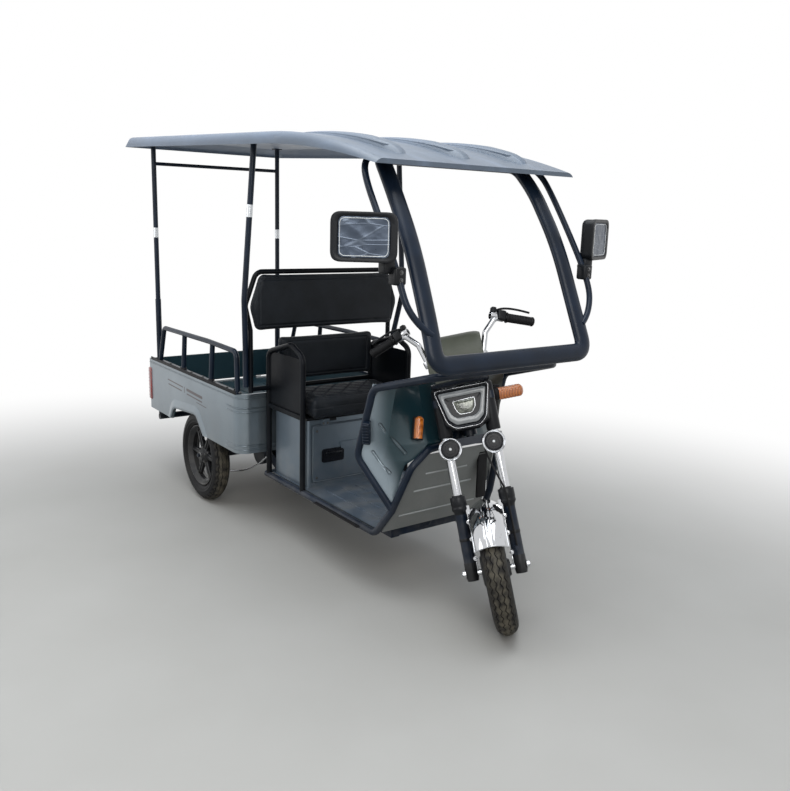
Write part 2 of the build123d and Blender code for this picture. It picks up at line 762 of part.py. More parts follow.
brake_anchor_height = 66
with BuildPart() as fork_sliders:
    for side in (-1, 1):
        with BuildSketch(Plane.XY.offset(-26)):
            with Locations((axle_lead, side * leg_half_spacing)):
                Circle(slider_diameter / 2 - 3)
        with BuildSketch(Plane.XY.offset(40)):
            with Locations((axle_lead, side * leg_half_spacing)):
                Circle(slider_diameter / 2)
        loft()
        with BuildSketch(Plane.XY.offset(40)):
            with Locations((axle_lead, side * leg_half_spacing)):
                Circle(slider_diameter / 2)
        extrude(amount=slider_top - 40)
        with BuildSketch(Plane.XY.offset(slider_top - 36)):
            with Locations((axle_lead, side * leg_half_spacing)):
                Circle(slider_diameter / 2 + 5)
        extrude(amount=36)
    with Locations((axle_lead + slider_diameter / 2, leg_half_spacing, brake_anchor_height)):
        Box(22, 14, 16)
    with BuildSketch(Plane.XZ.offset(-leg_half_spacing - slider_diameter)):
        with Locations((axle_lead, 0)):
            Circle(6)
    extrude(amount=2 * (leg_half_spacing + slider_diameter), mode=Mode.SUBTRACT)
    add(fork_stanchions.part, mode=Mode.SUBTRACT)
save(fork_sliders, "fork_sliders", steering_place)

# Front axle: the spindle with its end nuts
front_hub_half = 52
with BuildPart() as front_axle:
    with BuildSketch(Plane.XZ.offset(-leg_half_spacing - 34)):
        with Locations((axle_lead, 0)):
            Circle(6)
    extrude(amount=2 * (leg_half_spacing + 34))
    for side in (-1, 1):
        with BuildSketch(Plane.XZ.offset(-side * (leg_half_spacing + slider_diameter / 2))):
            with Locations((axle_lead, 0)):
                RegularPolygon(radius=11, side_count=6)
        extrude(amount=-side * 10)
        with BuildSketch(Plane.XZ.offset(-side * (front_hub_half + running_gap))):
            with Locations((axle_lead, 0)):
                Circle(11)
        extrude(amount=-side * (leg_half_spacing - slider_diameter / 2 - front_hub_half + 4))
    add(fork_sliders.part, mode=Mode.SUBTRACT)
save(front_axle, "front_axle", steering_place)

# Front mudguard: a domed blade swept round the tyre, with a tab to each slider
mudguard_gap = 16
mudguard_half_width = 56
mudguard_wall = 3
mudguard_start = 26
mudguard_sweep = 128
mudguard_radius = tyre_radius + mudguard_gap
mudguard_plane = Plane(
    origin=(axle_lead, 0, 0),
    x_dir=(cos(radians(mudguard_start)), 0, sin(radians(mudguard_start))),
    z_dir=(-sin(radians(mudguard_start)), 0, cos(radians(mudguard_start))),
)
with BuildPart() as front_mudguard:
    with BuildSketch(mudguard_plane):
        with BuildLine():
            inner = ThreePointArc(
                (mudguard_radius - 34, -mudguard_half_width),
                (mudguard_radius, 0),
                (mudguard_radius - 34, mudguard_half_width),
            )
            outer = ThreePointArc(
                (mudguard_radius - 34, -mudguard_half_width - mudguard_wall),
                (mudguard_radius + mudguard_wall, 0),
                (mudguard_radius - 34, mudguard_half_width + mudguard_wall),
            )
            Line(inner @ 0, outer @ 0)
            Line(inner @ 1, outer @ 1)
        make_face()
    revolve(axis=Axis((axle_lead, 0, 0), (0, -1, 0)), revolution_arc=mudguard_sweep)
    for side in (-1, 1):
        with Locations((axle_lead, side * (mudguard_half_width - 3), mudguard_radius - 22)):
            Box(26, 14, 30, align=(Align.CENTER, Align.MIN if side > 0 else Align.MAX, Align.CENTER))
    add(fork_sliders.part, mode=Mode.SUBTRACT)
save(front_mudguard, "front_mudguard", steering_place)

# Front brake cable: from the lower yoke down before the left stanchion to the anchor on the slider
cable_diameter = 7
cable_x = axle_lead + slider_diameter / 2 + 5 + cable_diameter / 2 + 1
cable_points = [
    (axle_lead + 8, 40, lower_yoke_height - yoke_thickness / 2),
    (axle_lead + 22, 46, 410),
    (cable_x + 14, 62, 350),
    (cable_x + 6, 82, 290),
    (cable_x, leg_half_spacing, 230),
    (axle_lead + slider_diameter / 2 + 6, leg_half_spacing, 150),
    (axle_lead + slider_diameter / 2 + 5, leg_half_spacing + 0.5, brake_anchor_height + 8),
]
with BuildPart() as front_brake_cable:
    tube(cable_points, 60, cable_diameter)
save(front_brake_cable, "front_brake_cable", steering_place)

# Headlamp shell: a lens-shaped nacelle that hides the yokes and clamps
lamp_face = axle_lead + 96
with BuildPart() as headlamp_shell:
    with BuildSketch(Plane.YZ.offset(axle_lead + 26)) as shell_back:
        with BuildLine():
            Polyline((-104, 672), (104, 672), (82, 530), (40, 508), (-40, 508), (-82, 530), close=True)
        make_face()
        fillet(vertices(), radius=16)
    with BuildSketch(Plane.YZ.offset(lamp_face)) as shell_face:
        with BuildLine():
            Polyline((-100, 664), (100, 664), (74, 538), (44, 514), (-44, 514), (-74, 538), close=True)
        make_face()
        fillet(vertices(), radius=16)
    loft()
    with BuildSketch(Plane.YZ.offset(lamp_face - 10)):
        with BuildLine():
            Polyline((-84, 650), (84, 650), (62, 548), (38, 528), (-38, 528), (-62, 548), close=True)
        make_face()
        fillet(vertices(), radius=12)
    extrude(amount=10, mode=Mode.SUBTRACT)
save(headlamp_shell, "headlamp_shell", steering_place)

with BuildPart() as headlamp_lens:
    with BuildSketch(Plane.YZ.offset(lamp_face - 10)):
        with BuildLine():
            Polyline((-84, 650), (84, 650), (62, 548), (38, 528), (-38, 528), (-62, 548), close=True)
        make_face()
        fillet(vertices(), radius=12)
    extrude(amount=8)
save(headlamp_lens, "headlamp_lens", steering_place)

# Round lower lamps with chromed rings, clamped to the stanchions
horn_height = 452
horn_half_spacing = 79
horn_radius = 40
with BuildPart() as round_lamps:
    with BuildSketch(Plane.YZ.offset(axle_lead + stanchion_diameter / 2)):
        with Locations((-horn_half_spacing, horn_height), (horn_half_spacing, horn_height)):
            Circle(horn_radius - 8)
    extrude(amount=20)
    with BuildSketch(Plane.YZ.offset(axle_lead + stanchion_diameter / 2 + 20)):
        with Locations((-horn_half_spacing, horn_height), (horn_half_spacing, horn_height)):
            Circle(horn_radius)
    extrude(amount=14)
    add(fork_yokes.part, mode=Mode.SUBTRACT)
save(round_lamps, "round_lamps", steering_place)

# Handlebar: one bent tube on risers, with rubber grips on its ends
bar_tube = 22
bar_points = [
    (-30, 52, 640),
    (-34, 104, 782),
    (-42, 128, 862),
    (-50, 172, grip_height + 2),
    (-70, 215, grip_height),
    (-110, grip_reach, grip_height - 30),
]
with BuildPart() as handlebar:
    for bar in both_sides(bar_points):
        tube(bar, 24, bar_tube)
    with Locations((-26, 0, 648)):
        Box(30, 130, 22)
    add(fork_yokes.part, mode=Mode.SUBTRACT)
save(handlebar, "handlebar", steering_place)

grip_start = Vector(-70, 215, grip_height)
grip_end = Vector(-110, grip_reach, grip_height - 30)
grip_direction = (grip_end - grip_start).normalized()
with BuildPart() as handlebar_grips:
    for side in (-1, 1):
        with BuildSketch(
            Plane(
                origin=(grip_start.X, side * grip_start.Y, grip_start.Z),
                z_dir=(grip_direction.X, side * grip_direction.Y, grip_direction.Z),
            )
        ):
            Circle(16)
        extrude(amount=(grip_end - grip_start).length + 6)
    add(handlebar.part, mode=Mode.SUBTRACT)
save(handlebar_grips, "handlebar_grips", steering_place)

# Instrument panel behind the headlamp
with BuildPart() as instrument_panel:
    with BuildSketch(Plane.XZ.offset(-88)):
        with BuildLine():
            Polyline((-20, 690), (62, 676), (44, 790), (-6, 820), (-28, 800), close=True)
        make_face()
        fillet(vertices(), radius=8)
    extrude(amount=176)
    add(fork_yokes.part, mode=Mode.SUBTRACT)
    add(handlebar.part, mode=Mode.SUBTRACT)
save(instrument_panel, "instrument_panel", steering_place)


def tyre_part():
    """A tyre with a round crown, about the local Z axis."""
    with BuildPart() as tyre:
        with BuildSketch(Plane.XZ):
            with Locations((crown_ring, 0)):
                Circle(crown_radius)
            with Locations((rim_radius - 20, 0)):
                Rectangle(40, 2 * tyre_width, mode=Mode.SUBTRACT)
        revolve(axis=Axis.Z)
    return tyre


def rim_part(hub_low, hub_high, hub_radius, bore_radius):
    """A cast wheel with six spokes about the local Z axis; the hub runs between two heights."""
    bead = 31
    with BuildPart() as rim:
        with BuildSketch(Plane.XZ):
            with BuildLine():
                Polyline(
                    (rim_radius, -bead),
                    (rim_radius, bead),
                    (rim_radius - 14, bead),
                    (rim_radius - 22, bead - 12),
                    (rim_radius - 22, 12 - bead),
                    (rim_radius - 14, -bead),
                    close=True,
                )
            make_face()
        revolve(axis=Axis.Z)
        with BuildSketch(Plane.XY.offset(hub_low)):
            Circle(hub_radius)
        extrude(amount=hub_high - hub_low)
        with BuildSketch(Plane.XY.offset(-8)):
            with PolarLocations(0, 6):
                with Locations(((rim_radius - 20 + hub_radius - 4) / 2, 0)):
                    Rectangle(rim_radius - 16 - hub_radius, 26)
        extrude(amount=16)
        with BuildSketch(Plane.XY.offset(hub_low)):
            Circle(bore_radius)
        extrude(amount=hub_high - hub_low, mode=Mode.SUBTRACT)
    return rim


front_tyre = tyre_part()
save(front_tyre, "front_tyre", front_wheel_place)
save(rim_part(-front_hub_half, front_hub_half, 58, 6 + running_gap), "front_rim", front_wheel_place)
for side, place in (("right", right_wheel_place), ("left", left_wheel_place)):
    save(tyre_part(), f"rear_tyre_{side}", place)
    rear_rim = rim_part(hub_inner_y - wheel_centre_y, hub_outer_y - wheel_centre_y, 62, axle_stub_diameter / 2)
    save(rear_rim, f"rear_rim_{side}", place)

# Load bed walls: one rounded ring with wheel arches, split where the panels meet
arch_points = [(-268, skirt_bottom - 8), (-222, 442), (66, 464), (152, skirt_bottom - 8)]
corner_start = bed_half_width - bed_corner_radius - 4


with BuildPart() as bed_ring:
    for inset, mode in ((0, Mode.ADD), (bed_wall, Mode.SUBTRACT)):
        with BuildSketch(Plane.XY.offset(skirt_bottom)):
            with Locations((ax + bed_rear, 0)):
                Rectangle(
                    bed_front - bed_rear - inset,
                    2 * (bed_half_width - inset),
                    align=(Align.MIN, Align.CENTER),
                )
            fillet(vertices().group_by(Axis.X)[-1], radius=bed_corner_radius - inset)
        extrude(amount=bed_top - skirt_bottom, mode=mode)
    with BuildSketch(Plane.XZ.offset(-bed_half_width - 5)):
        with BuildLine():
            Polyline(*[(ax + x, z) for x, z in arch_points], close=True)
        make_face()
        fillet(vertices().group_by(Axis.Y)[-1], radius=26)
    extrude(amount=2 * bed_half_width + 10, mode=Mode.SUBTRACT)

# Side panels of the bed, each with its rounded front corner and a return at the tail
return_low = 420
return_width = 46
for side, name in ((-1, "right"), (1, "left")):
    with BuildPart() as bed_side:
        add(bed_ring.part)
        split(bisect_by=Plane.XZ.offset(-side * corner_start), keep=Keep.TOP if side < 0 else Keep.BOTTOM)
        with Locations((ax + bed_rear, side * bed_half_width, return_low)):
            Box(
                6,
                return_width,
                bed_top - return_low,
                align=(Align.MIN, Align.MIN if side < 0 else Align.MAX, Align.MIN),
            )
    save(bed_side, f"bed_side_{name}")

with BuildPart() as bed_front_panel:
    with Locations((ax + bed_front, 0, skirt_bottom)):
        Box(bed_wall, 2 * corner_start, bed_top - skirt_bottom, align=(Align.MAX, Align.CENTER, Align.MIN))
save(bed_front_panel, "bed_front_panel")

# Bed floor: sheet with pressed ribs and a pocket at each tail corner for the standing rear posts
pocket_front = -412
pocket_inner = 342
floor_half = bed_half_width - bed_wall
corner_inner = bed_corner_radius - bed_wall
with BuildPart() as bed_floor:
    with BuildSketch(Plane.XY.offset(bed_floor_top - floor_sheet)):
        with Locations((ax + bed_rear, 0)):
            Rectangle(bed_front - bed_rear - bed_wall, 2 * floor_half, align=(Align.MIN, Align.CENTER))
        fillet(vertices().group_by(Axis.X)[-1], radius=corner_inner)
        for side in (-1, 1):
            with Locations((ax + bed_rear, side * floor_half)):
                Rectangle(
                    pocket_front - bed_rear,
                    floor_half - pocket_inner,
                    align=(Align.MIN, Align.MIN if side < 0 else Align.MAX),
                    mode=Mode.SUBTRACT,
                )
    extrude(amount=floor_sheet)
    with BuildSketch(Plane.XY.offset(bed_floor_top)):
        with Locations((ax + (bed_front + pocket_front) / 2, 0)):
            with GridLocations(0, 96, 1, 7):
                SlotOverall(bed_front - pocket_front - 90, 26)
    extrude(amount=3)
    add(bed_ring.part, mode=Mode.SUBTRACT)
save(bed_floor, "bed_floor")

# Bed subframe: two bearers, cross bearers, the hinge lugs at the tail and the tailgate's hinge pins
bearer_top = bed_floor_top - floor_sheet
gate_hinge_x = bed_rear - 7
gate_hinge_z = bed_floor_top - 4
gate_knuckle_radius = 6
gate_pin_radius = 3
gate_knuckle_y = 240
cross_bearers = (
    # position, half length
    (-540, 330),
    (-300, 360),
    (-40, 270),
    (220, 360),
    (460, 360),
)
with BuildPart() as bed_subframe:
    for side in (-1, 1):
        with Locations((ax + bed_rear + 30, side * bearer_half_spacing, bearer_top)):
            Box(
                bed_front - bed_rear - 60,
                40,
                bearer_depth,
                align=(Align.MIN, Align.CENTER, Align.MAX),
            )
        with BuildSketch(Plane.XZ.offset(-side * lug_y)):
            with BuildLine():
                Polyline(
                    (ax + bed_hinge_x - 26, bearer_top - bearer_depth),
                    (ax + bed_hinge_x - 16, bed_hinge_height - 16),
                    (ax + bed_hinge_x + 16, bed_hinge_height - 16),
                    (ax + bed_hinge_x + 40, bearer_top - bearer_depth),
                    close=True,
                )
            make_face()
            with Locations((ax + bed_hinge_x, bed_hinge_height)):
                Circle(hinge_pin_radius + running_gap, mode=Mode.SUBTRACT)
        extrude(amount=lug_thickness / 2, both=True)
        for radius, low, high in (
            (gate_knuckle_radius, gate_knuckle_y, gate_knuckle_y + knuckle_length),
            (gate_pin_radius, gate_knuckle_y - knuckle_length, gate_knuckle_y + 1),
        ):
            with BuildSketch(Plane.XZ.offset(-side * low)):
                with Locations((ax + gate_hinge_x, gate_hinge_z)):
                    Circle(radius)
            extrude(amount=-side * (high - low))
        with Locations((ax + gate_hinge_x, side * (gate_knuckle_y + knuckle_length / 2), bearer_top)):
            Box(60, knuckle_length, gate_knuckle_radius, align=(Align.MIN, Align.CENTER, Align.MAX))
    for cross_x, half_length in cross_bearers:
        with Locations((ax + cross_x, 0, bearer_top)):
            Box(40, 2 * half_length, 14, align=(Align.CENTER, Align.CENTER, Align.MAX))
save(bed_subframe, "bed_subframe")

# Bed rails: a bent top tube on each side with slanted struts and a flat foot strip
rail_tube = 24
rail_y = bed_half_width - rail_tube / 2
with BuildPart() as bed_rails:
    for side in (-1, 1):
        y = side * rail_y
        tube(
            [
                (ax - 430, y, bed_top + 8),
                (ax - 362, y, rail_height - 10),
                (ax + 200, y, rail_height - 4),
                (ax + bed_front - 40, y, rail_height - 10),
                (ax + bed_front - 34, y, bed_top + 8),
            ],
            34,
            rail_tube,
        )
        for strut_x in (-100, 236):
            tube([(ax + strut_x - 12, y, bed_top + 8), (ax + strut_x + 12, y, rail_height - 8)], 0, rail_tube)
        with Locations((ax + (bed_front - 455) / 2, y, bed_top)):
            Box(bed_front + 455 - 40, rail_tube, 10, align=(Align.CENTER, Align.CENTER, Align.MIN))
save(bed_rails, "bed_rails")

# Tail lamps on the returns
with BuildPart() as tail_lamps:
    for side in (-1, 1):
        with BuildSketch(Plane.YZ.offset(ax + bed_rear)):
            with Locations((side * (bed_half_width - return_width / 2 - 1), 514)):
                SlotOverall(184, 34, rotation=90)
        extrude(amount=-16)
save(tail_lamps, "tail_lamps")

# Tailgate: a pressed panel on a bottom hinge with latch bolts at its top corners
gate_thickness = 12
gate_half = bed_half_width - return_width - 5
with BuildPart() as tailgate:
    with BuildSketch(Plane.YZ.offset(ax + bed_rear)):
        with Locations((0, (gate_hinge_z + 12 + bed_top) / 2)):
            RectangleRounded(2 * gate_half, bed_top - gate_hinge_z - 12, 8)
    extrude(amount=gate_thickness)
    with BuildSketch(Plane.YZ.offset(ax + bed_rear)):
        with Locations((0, (gate_hinge_z + 12 + bed_top) / 2)):
            RectangleRounded(2 * gate_half - 80, bed_top - gate_hinge_z - 72, 14)
    extrude(amount=-5)
    for side in (-1, 1):
        with Locations((ax + bed_rear - running_gap, side * (gate_half + 4), bed_top - 26)):
            Box(9, 44, 26, align=(Align.MAX, Align.CENTER, Align.CENTER))
        with Locations((ax + bed_rear + 2, side * (gate_half - 10), bed_top - 26)):
            Box(8, 16, 26, align=(Align.MAX, Align.CENTER, Align.CENTER))
        with BuildSketch(Plane.XZ.offset(-side * (gate_knuckle_y - running_gap))):
            with Locations((ax + gate_hinge_x, gate_hinge_z)):
                Circle(gate_knuckle_radius)
                Rectangle(bed_rear - gate_hinge_x - running_gap, 26, align=(Align.MIN, Align.MIN))
            with Locations((ax + gate_hinge_x, gate_hinge_z + 14)):
                Rectangle(gate_thickness, 12, align=(Align.MIN, Align.MIN))
        extrude(amount=side * knuckle_length)
        with BuildSketch(Plane.XZ.offset(-side * (gate_knuckle_y + 5))):
            with Locations((ax + gate_hinge_x, gate_hinge_z)):
                Circle(gate_pin_radius + running_gap)
        extrude(amount=side * (knuckle_length + 10), mode=Mode.SUBTRACT)
save(tailgate, "tailgate")
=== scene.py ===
"""Looks of the electric dump tricycle: finishes for its CAD parts and the pieces that dress them.

Metres, in the CAD parts' own frame: +X ahead, +Y to the rider's left, +Z up from the ground.
"""
import json
from math import atan2, copysign, cos, hypot, pi, radians, sin, sqrt

import bmesh
import bpy
from mathutils import Matrix, Vector, noise


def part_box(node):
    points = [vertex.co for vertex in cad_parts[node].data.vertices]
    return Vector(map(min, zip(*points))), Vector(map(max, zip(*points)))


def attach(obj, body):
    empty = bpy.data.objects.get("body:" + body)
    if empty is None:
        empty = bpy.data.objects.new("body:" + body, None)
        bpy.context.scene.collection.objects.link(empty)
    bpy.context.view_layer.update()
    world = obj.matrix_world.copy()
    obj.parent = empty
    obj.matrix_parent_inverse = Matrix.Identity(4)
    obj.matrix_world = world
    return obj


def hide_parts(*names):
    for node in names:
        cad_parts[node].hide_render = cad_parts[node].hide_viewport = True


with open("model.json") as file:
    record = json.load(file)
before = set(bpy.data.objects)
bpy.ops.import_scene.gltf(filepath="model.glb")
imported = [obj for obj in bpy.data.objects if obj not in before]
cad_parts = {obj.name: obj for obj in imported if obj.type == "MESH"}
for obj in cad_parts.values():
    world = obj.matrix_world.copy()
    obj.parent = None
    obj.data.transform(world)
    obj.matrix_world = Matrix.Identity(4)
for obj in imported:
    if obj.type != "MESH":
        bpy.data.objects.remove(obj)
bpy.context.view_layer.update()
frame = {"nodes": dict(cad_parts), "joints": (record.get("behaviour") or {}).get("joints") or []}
scene = bpy.context.scene
scene.view_settings.view_transform = "Standard"

# Camera: a person's view of the right front corner, a little over the guard tube, as in the
# photograph, with the same lens and a slight roll to the right.
camera_place = (3.1607, -1.980, 1.454)
yaw, pitch, roll = radians(143.41), radians(12.28), radians(1.69)
camera_data = bpy.data.cameras.new("camera")
camera_data.sensor_width, camera_data.lens = 36, 37.37
camera = bpy.data.objects.new("camera", camera_data)
scene.collection.objects.link(camera)
scene.camera = camera
sight = Vector((cos(yaw) * cos(pitch), sin(yaw) * cos(pitch), -sin(pitch)))
level = sight.cross(Vector((0, 0, 1))).normalized()
upright = level.cross(sight)
camera_axes = (
    level * cos(roll) + upright * sin(roll), upright * cos(roll) - level * sin(roll), -sight
)
camera.matrix_world = Matrix.Translation(camera_place) @ Matrix(camera_axes).transposed().to_4x4()


# Studio: a warm grey floor that fades into white all round, one large soft light overhead, a
# broad one before the cab and a low fill, under a sky that is brightest at its top.
class Value:
    """A socket in a node tree. Signs between values add its Math nodes."""

    def __init__(self, tree, socket):
        self.tree, self.socket = tree, socket

    def maths(self, operation, *others):
        terms = dict(enumerate((self, *others)))
        return self.tree.node("ShaderNodeMath", {"operation": operation}, terms)

    def __add__(self, other):
        return self.maths("ADD", other)

    def __sub__(self, other):
        return self.maths("SUBTRACT", other)

    def __rsub__(self, other):
        return self.tree.node("ShaderNodeMath", {"operation": "SUBTRACT"}, {0: other, 1: self})

    def __mul__(self, other):
        return self.maths("MULTIPLY", other)

    def __abs__(self):
        return self.maths("ABSOLUTE")

    __radd__ = __add__

    def between(self, low, high, step="SMOOTHSTEP"):
        """0 below low and 1 above high, with a soft or a linear step between."""
        sockets = {"Value": self, "From Min": low, "From Max": high}
        return self.tree.node("ShaderNodeMapRange", {"interpolation_type": step}, sockets)


class Tree:
    """A node tree. node() adds any node, and fill() sets or links its sockets."""

    def __init__(self, nodes):
        self.nodes = nodes

    def fill(self, made, sockets):
        for key, value in sockets.items():
            if isinstance(value, Value):
                self.nodes.links.new(value.socket, made.inputs[key])
            else:
                made.inputs[key].default_value = value

    def node(self, kind, settings=None, sockets=None, output=0):
        made = self.nodes.nodes.new(kind)
        for key, value in (settings or {}).items():
            setattr(made, key, value)
        self.fill(made, sockets or {})
        return Value(self, made.outputs[output])

    def blend(self, amount, low, high):
        return self.node("ShaderNodeMix", {"data_type": "RGBA"}, {0: amount, 6: low, 7: high}, 2)

    def seen(self):
        """1 to the camera and through mirrors and lenses, and 0 to the light that it gives."""
        camera_ray, glossy_ray, clear_ray = (
            self.node("ShaderNodeLightPath", output=f"Is {kind} Ray")
            for kind in ("Camera", "Glossy", "Transmission")
        )
        return (camera_ray + glossy_ray + clear_ray).maths("MINIMUM", 1)


class Finish(Tree):
    """A material in the making. paint() fills its shader, with _ for the blanks in names."""

    def __init__(self, name, **fixed):
        self.material = bpy.data.materials.new(name)
        self.material.use_nodes = True
        super().__init__(self.material.node_tree)
        self.shader = self.nodes.nodes["Principled BSDF"]
        self.paint(**fixed)

    def paint(self, **sockets):
        self.fill(self.shader, {key.replace("_", " "): value for key, value in sockets.items()})

    def place(self, axis=None):
        """Where a point lies on the vehicle: its vector, or one of x, y and z."""
        where = self.node("ShaderNodeTexCoord", output="Object")
        if axis is None:
            return where
        return self.node("ShaderNodeSeparateXYZ", sockets={0: where}, output="xyz".index(axis))

    def cloud(self, scale, detail=3, stretch=(1, 1, 1)):
        """Soft noise from 0 to 1 of that many lumps a metre."""
        where = self.node("ShaderNodeMapping", sockets={0: self.place(), "Scale": stretch})
        sockets = {"Vector": where, "Scale": scale, "Detail": detail}
        return self.node("ShaderNodeTexNoise", sockets=sockets)

    def bump(self, height, depth, strength=1.0):
        sockets = {"Strength": strength, "Distance": depth, "Height": height}
        return self.node("ShaderNodeBump", sockets=sockets)


white = (1, 1, 1, 1)
floor_finish = Finish("studio_floor", Roughness=0.62, Specular_IOR_Level=0.3)
floor_finish.paint(
    Base_Color=floor_finish.blend(
        floor_finish.cloud(1.6, 5), (0.36, 0.345, 0.315, 1), (0.43, 0.415, 0.385, 1)
    )
)
floor_middle = floor_finish.node(
    "ShaderNodeMapping", sockets={0: floor_finish.place(), "Location": (-0.9, 0.9, 0)}
)
floor_reach = floor_finish.node(
    "ShaderNodeVectorMath", {"operation": "LENGTH"}, {0: floor_middle}, "Value"
)
floor_edge = floor_finish.node(
    "ShaderNodeMixShader",
    sockets={
        0: floor_reach.between(1.9, 4.6) * floor_finish.seen(),
        1: Value(floor_finish, floor_finish.shader.outputs[0]),
        2: floor_finish.node("ShaderNodeEmission", sockets={0: white, 1: 1.0}),
    },
)
floor_finish.fill(floor_finish.nodes.nodes["Material Output"], {0: floor_edge})
floor_form = bmesh.new()
bmesh.ops.create_grid(floor_form, x_segments=1, y_segments=1, size=40)
floor_mesh = bpy.data.meshes.new("studio_floor")
floor_form.to_mesh(floor_mesh)
floor_form.free()
floor_mesh.materials.append(floor_finish.material)
floor = bpy.data.objects.new("studio_floor", floor_mesh)
scene.collection.objects.link(floor)

scene.world = bpy.data.worlds.new("studio_sky")
scene.world.use_nodes = True
sky = Tree(scene.world.node_tree)
sky_way = sky.node("ShaderNodeTexCoord", output="Generated")
sky_height = sky.node("ShaderNodeSeparateXYZ", sockets={0: sky_way}, output="Z")
sky_light = sky.blend(
    sky_height.between(0.48, 0.95, "LINEAR"), (0.30, 0.31, 0.32, 1), (0.74, 0.84, 1.0, 1)
)
sky.fill(sky.nodes.nodes["Background"], {0: sky.blend(sky.seen(), sky_light, white)})

light_aim = Vector((0.1, 0, 0.7))
for light_name, light_place, light_size, light_power, light_tint in (
    ("overhead_light", (0.4, -0.6, 4.6), 4.2, 190, (0.93, 0.97, 1.0)),
    ("front_light", (4.6, -2.6, 3.2), 2.6, 95, (1.0, 0.99, 0.97)),
    ("side_fill", (-1.8, -4.8, 1.8), 2.6, 45, (0.96, 0.98, 1.0)),
):
    light_data = bpy.data.lights.new(light_name, "AREA")
    light_data.size, light_data.energy, light_data.color = light_size, light_power, light_tint
    light = bpy.data.objects.new(light_name, light_data)
    scene.collection.objects.link(light)
    light.location = light_place
    light.rotation_euler = (light_aim - light.location).to_track_quat("-Z", "Y").to_euler()


# Frames: welded steel tube and rail, powder coated black with a navy tint that is a painted blue
# reflection, and a plainer black on the seat's frame. The coat has fine orange peel and is duller
# with dust towards the ground.
def coated(name, colour, spread, roughness, peel, depth, dust=0.0, **fixed):
    """A coat with uneven colour and gloss, fine peel, and dust that gathers low down."""
    finish = Finish(name, **fixed)
    scales = (1 - spread, 1 + spread)
    darker, lighter = ((*(part * scale for part in colour), 1) for scale in scales)
    tone = finish.blend(finish.cloud(9, 4).between(0.3, 0.7), darker, lighter)
    gloss = finish.cloud(26, 3) * 0.14 + (roughness - 0.07)
    if dust:
        low = 1 - finish.place("z").between(0.05, 0.55)
        film = low * finish.cloud(14, 5).between(0.32, 0.72) * dust
        tone = finish.blend(film, tone, (0.30, 0.28, 0.25, 1))
        gloss = gloss + film * 0.4
    finish.paint(Base_Color=tone, Roughness=gloss)
    if depth:
        finish.paint(Normal=finish.bump(finish.cloud(peel, 2), depth))
    return finish


def dress(finish, *names):
    """Give CAD parts a finish, and smooth their welded mesh up to its sharp edges."""
    for name in names:
        node = frame["nodes"][name]
        node.data.materials.clear()
        node.data.materials.append(finish.material)
        node.data.polygons.foreach_set("use_smooth", [True] * len(node.data.polygons))
        node.modifiers.new("weld", "WELD").merge_threshold = 0.00005
        node.modifiers.new("sharp_edges", "EDGE_SPLIT").split_angle = radians(32)


# The navy tint in this coat's colour is a painted blue reflection on the black.
frame_coat = coated(
    "black_frame_coat", (0.006, 0.012, 0.024), 0.25, 0.33, 420, 0.00012, 0.22,
    Coat_Weight=0.05, Coat_Roughness=0.12, Specular_IOR_Level=0.2,
)
dress(
    frame_coat, "chassis_frame", "guard_frame", "canopy_posts", "screen_frame", "bed_rails",
    "bed_subframe", "leaf_springs", "rear_axle", "fork_yokes", "fork_sliders",
)
seat_coat = coated(
    "seat_frame_coat", (0.0035, 0.0045, 0.0065), 0.3, 0.36, 420, 0.00012, 0.05,
    Specular_IOR_Level=0.12,
)
dress(seat_coat, "seat_frame")


# Painted panels: pressed steel sheet in silver-blue metallic paint. The bed is dark teal inside,
# and its side stripes are drawn on the panels. Its crease and corner pressings are drawn as bumps
# and darkened along their lines with painted shade.
def near(finish, start, end, half):
    """1 on the line between two points, and 0 from that far away."""
    start, span = Vector(start), Vector(end) - Vector(start)

    def vectors(operation, sockets, output=0):
        return finish.node("ShaderNodeVectorMath", {"operation": operation}, sockets, output)

    off = vectors("SUBTRACT", {0: finish.place(), 1: start})
    along = vectors("DOT_PRODUCT", {0: off, 1: span}, "Value")
    share = finish.node(
        "ShaderNodeMath", {"operation": "DIVIDE", "use_clamp": True},
        {0: along, 1: span.length_squared},
    )
    foot = vectors("SCALE", {0: span, "Scale": share})
    reach = vectors("LENGTH", {0: vectors("SUBTRACT", {0: off, 1: foot})}, "Value")
    return 1 - reach.between(half * 0.5, half)


def drawn(finish, strokes):
    """1 on any of the strokes, which are (start, end, half width)."""
    ink = 0
    for stroke in strokes:
        ink = near(finish, *stroke).maths("MAXIMUM", ink)
    return ink


def silver(name, tone=(0.205, 0.245, 0.275), **fixed):
    """Metallic paint under clear coat with faint runs and road film: finish, colour and gloss."""
    finish = Finish(name, **{"Metallic": 0.7, "Coat_Weight": 0.3, "Coat_Roughness": 0.08} | fixed)
    darker, lighter = ((*(part * scale for part in tone), 1) for scale in (0.92, 1.06))
    paint = finish.blend(finish.cloud(5, 4).between(0.3, 0.7), darker, lighter)
    film = 1 - finish.place("z").between(0.25, 0.62)
    film = film * finish.cloud(11, 5).between(0.35, 0.75) * 0.3
    gloss = finish.cloud(30, 3) * 0.1 + 0.27 + film * 0.4
    return finish, finish.blend(film, paint, (0.33, 0.32, 0.30, 1)), gloss


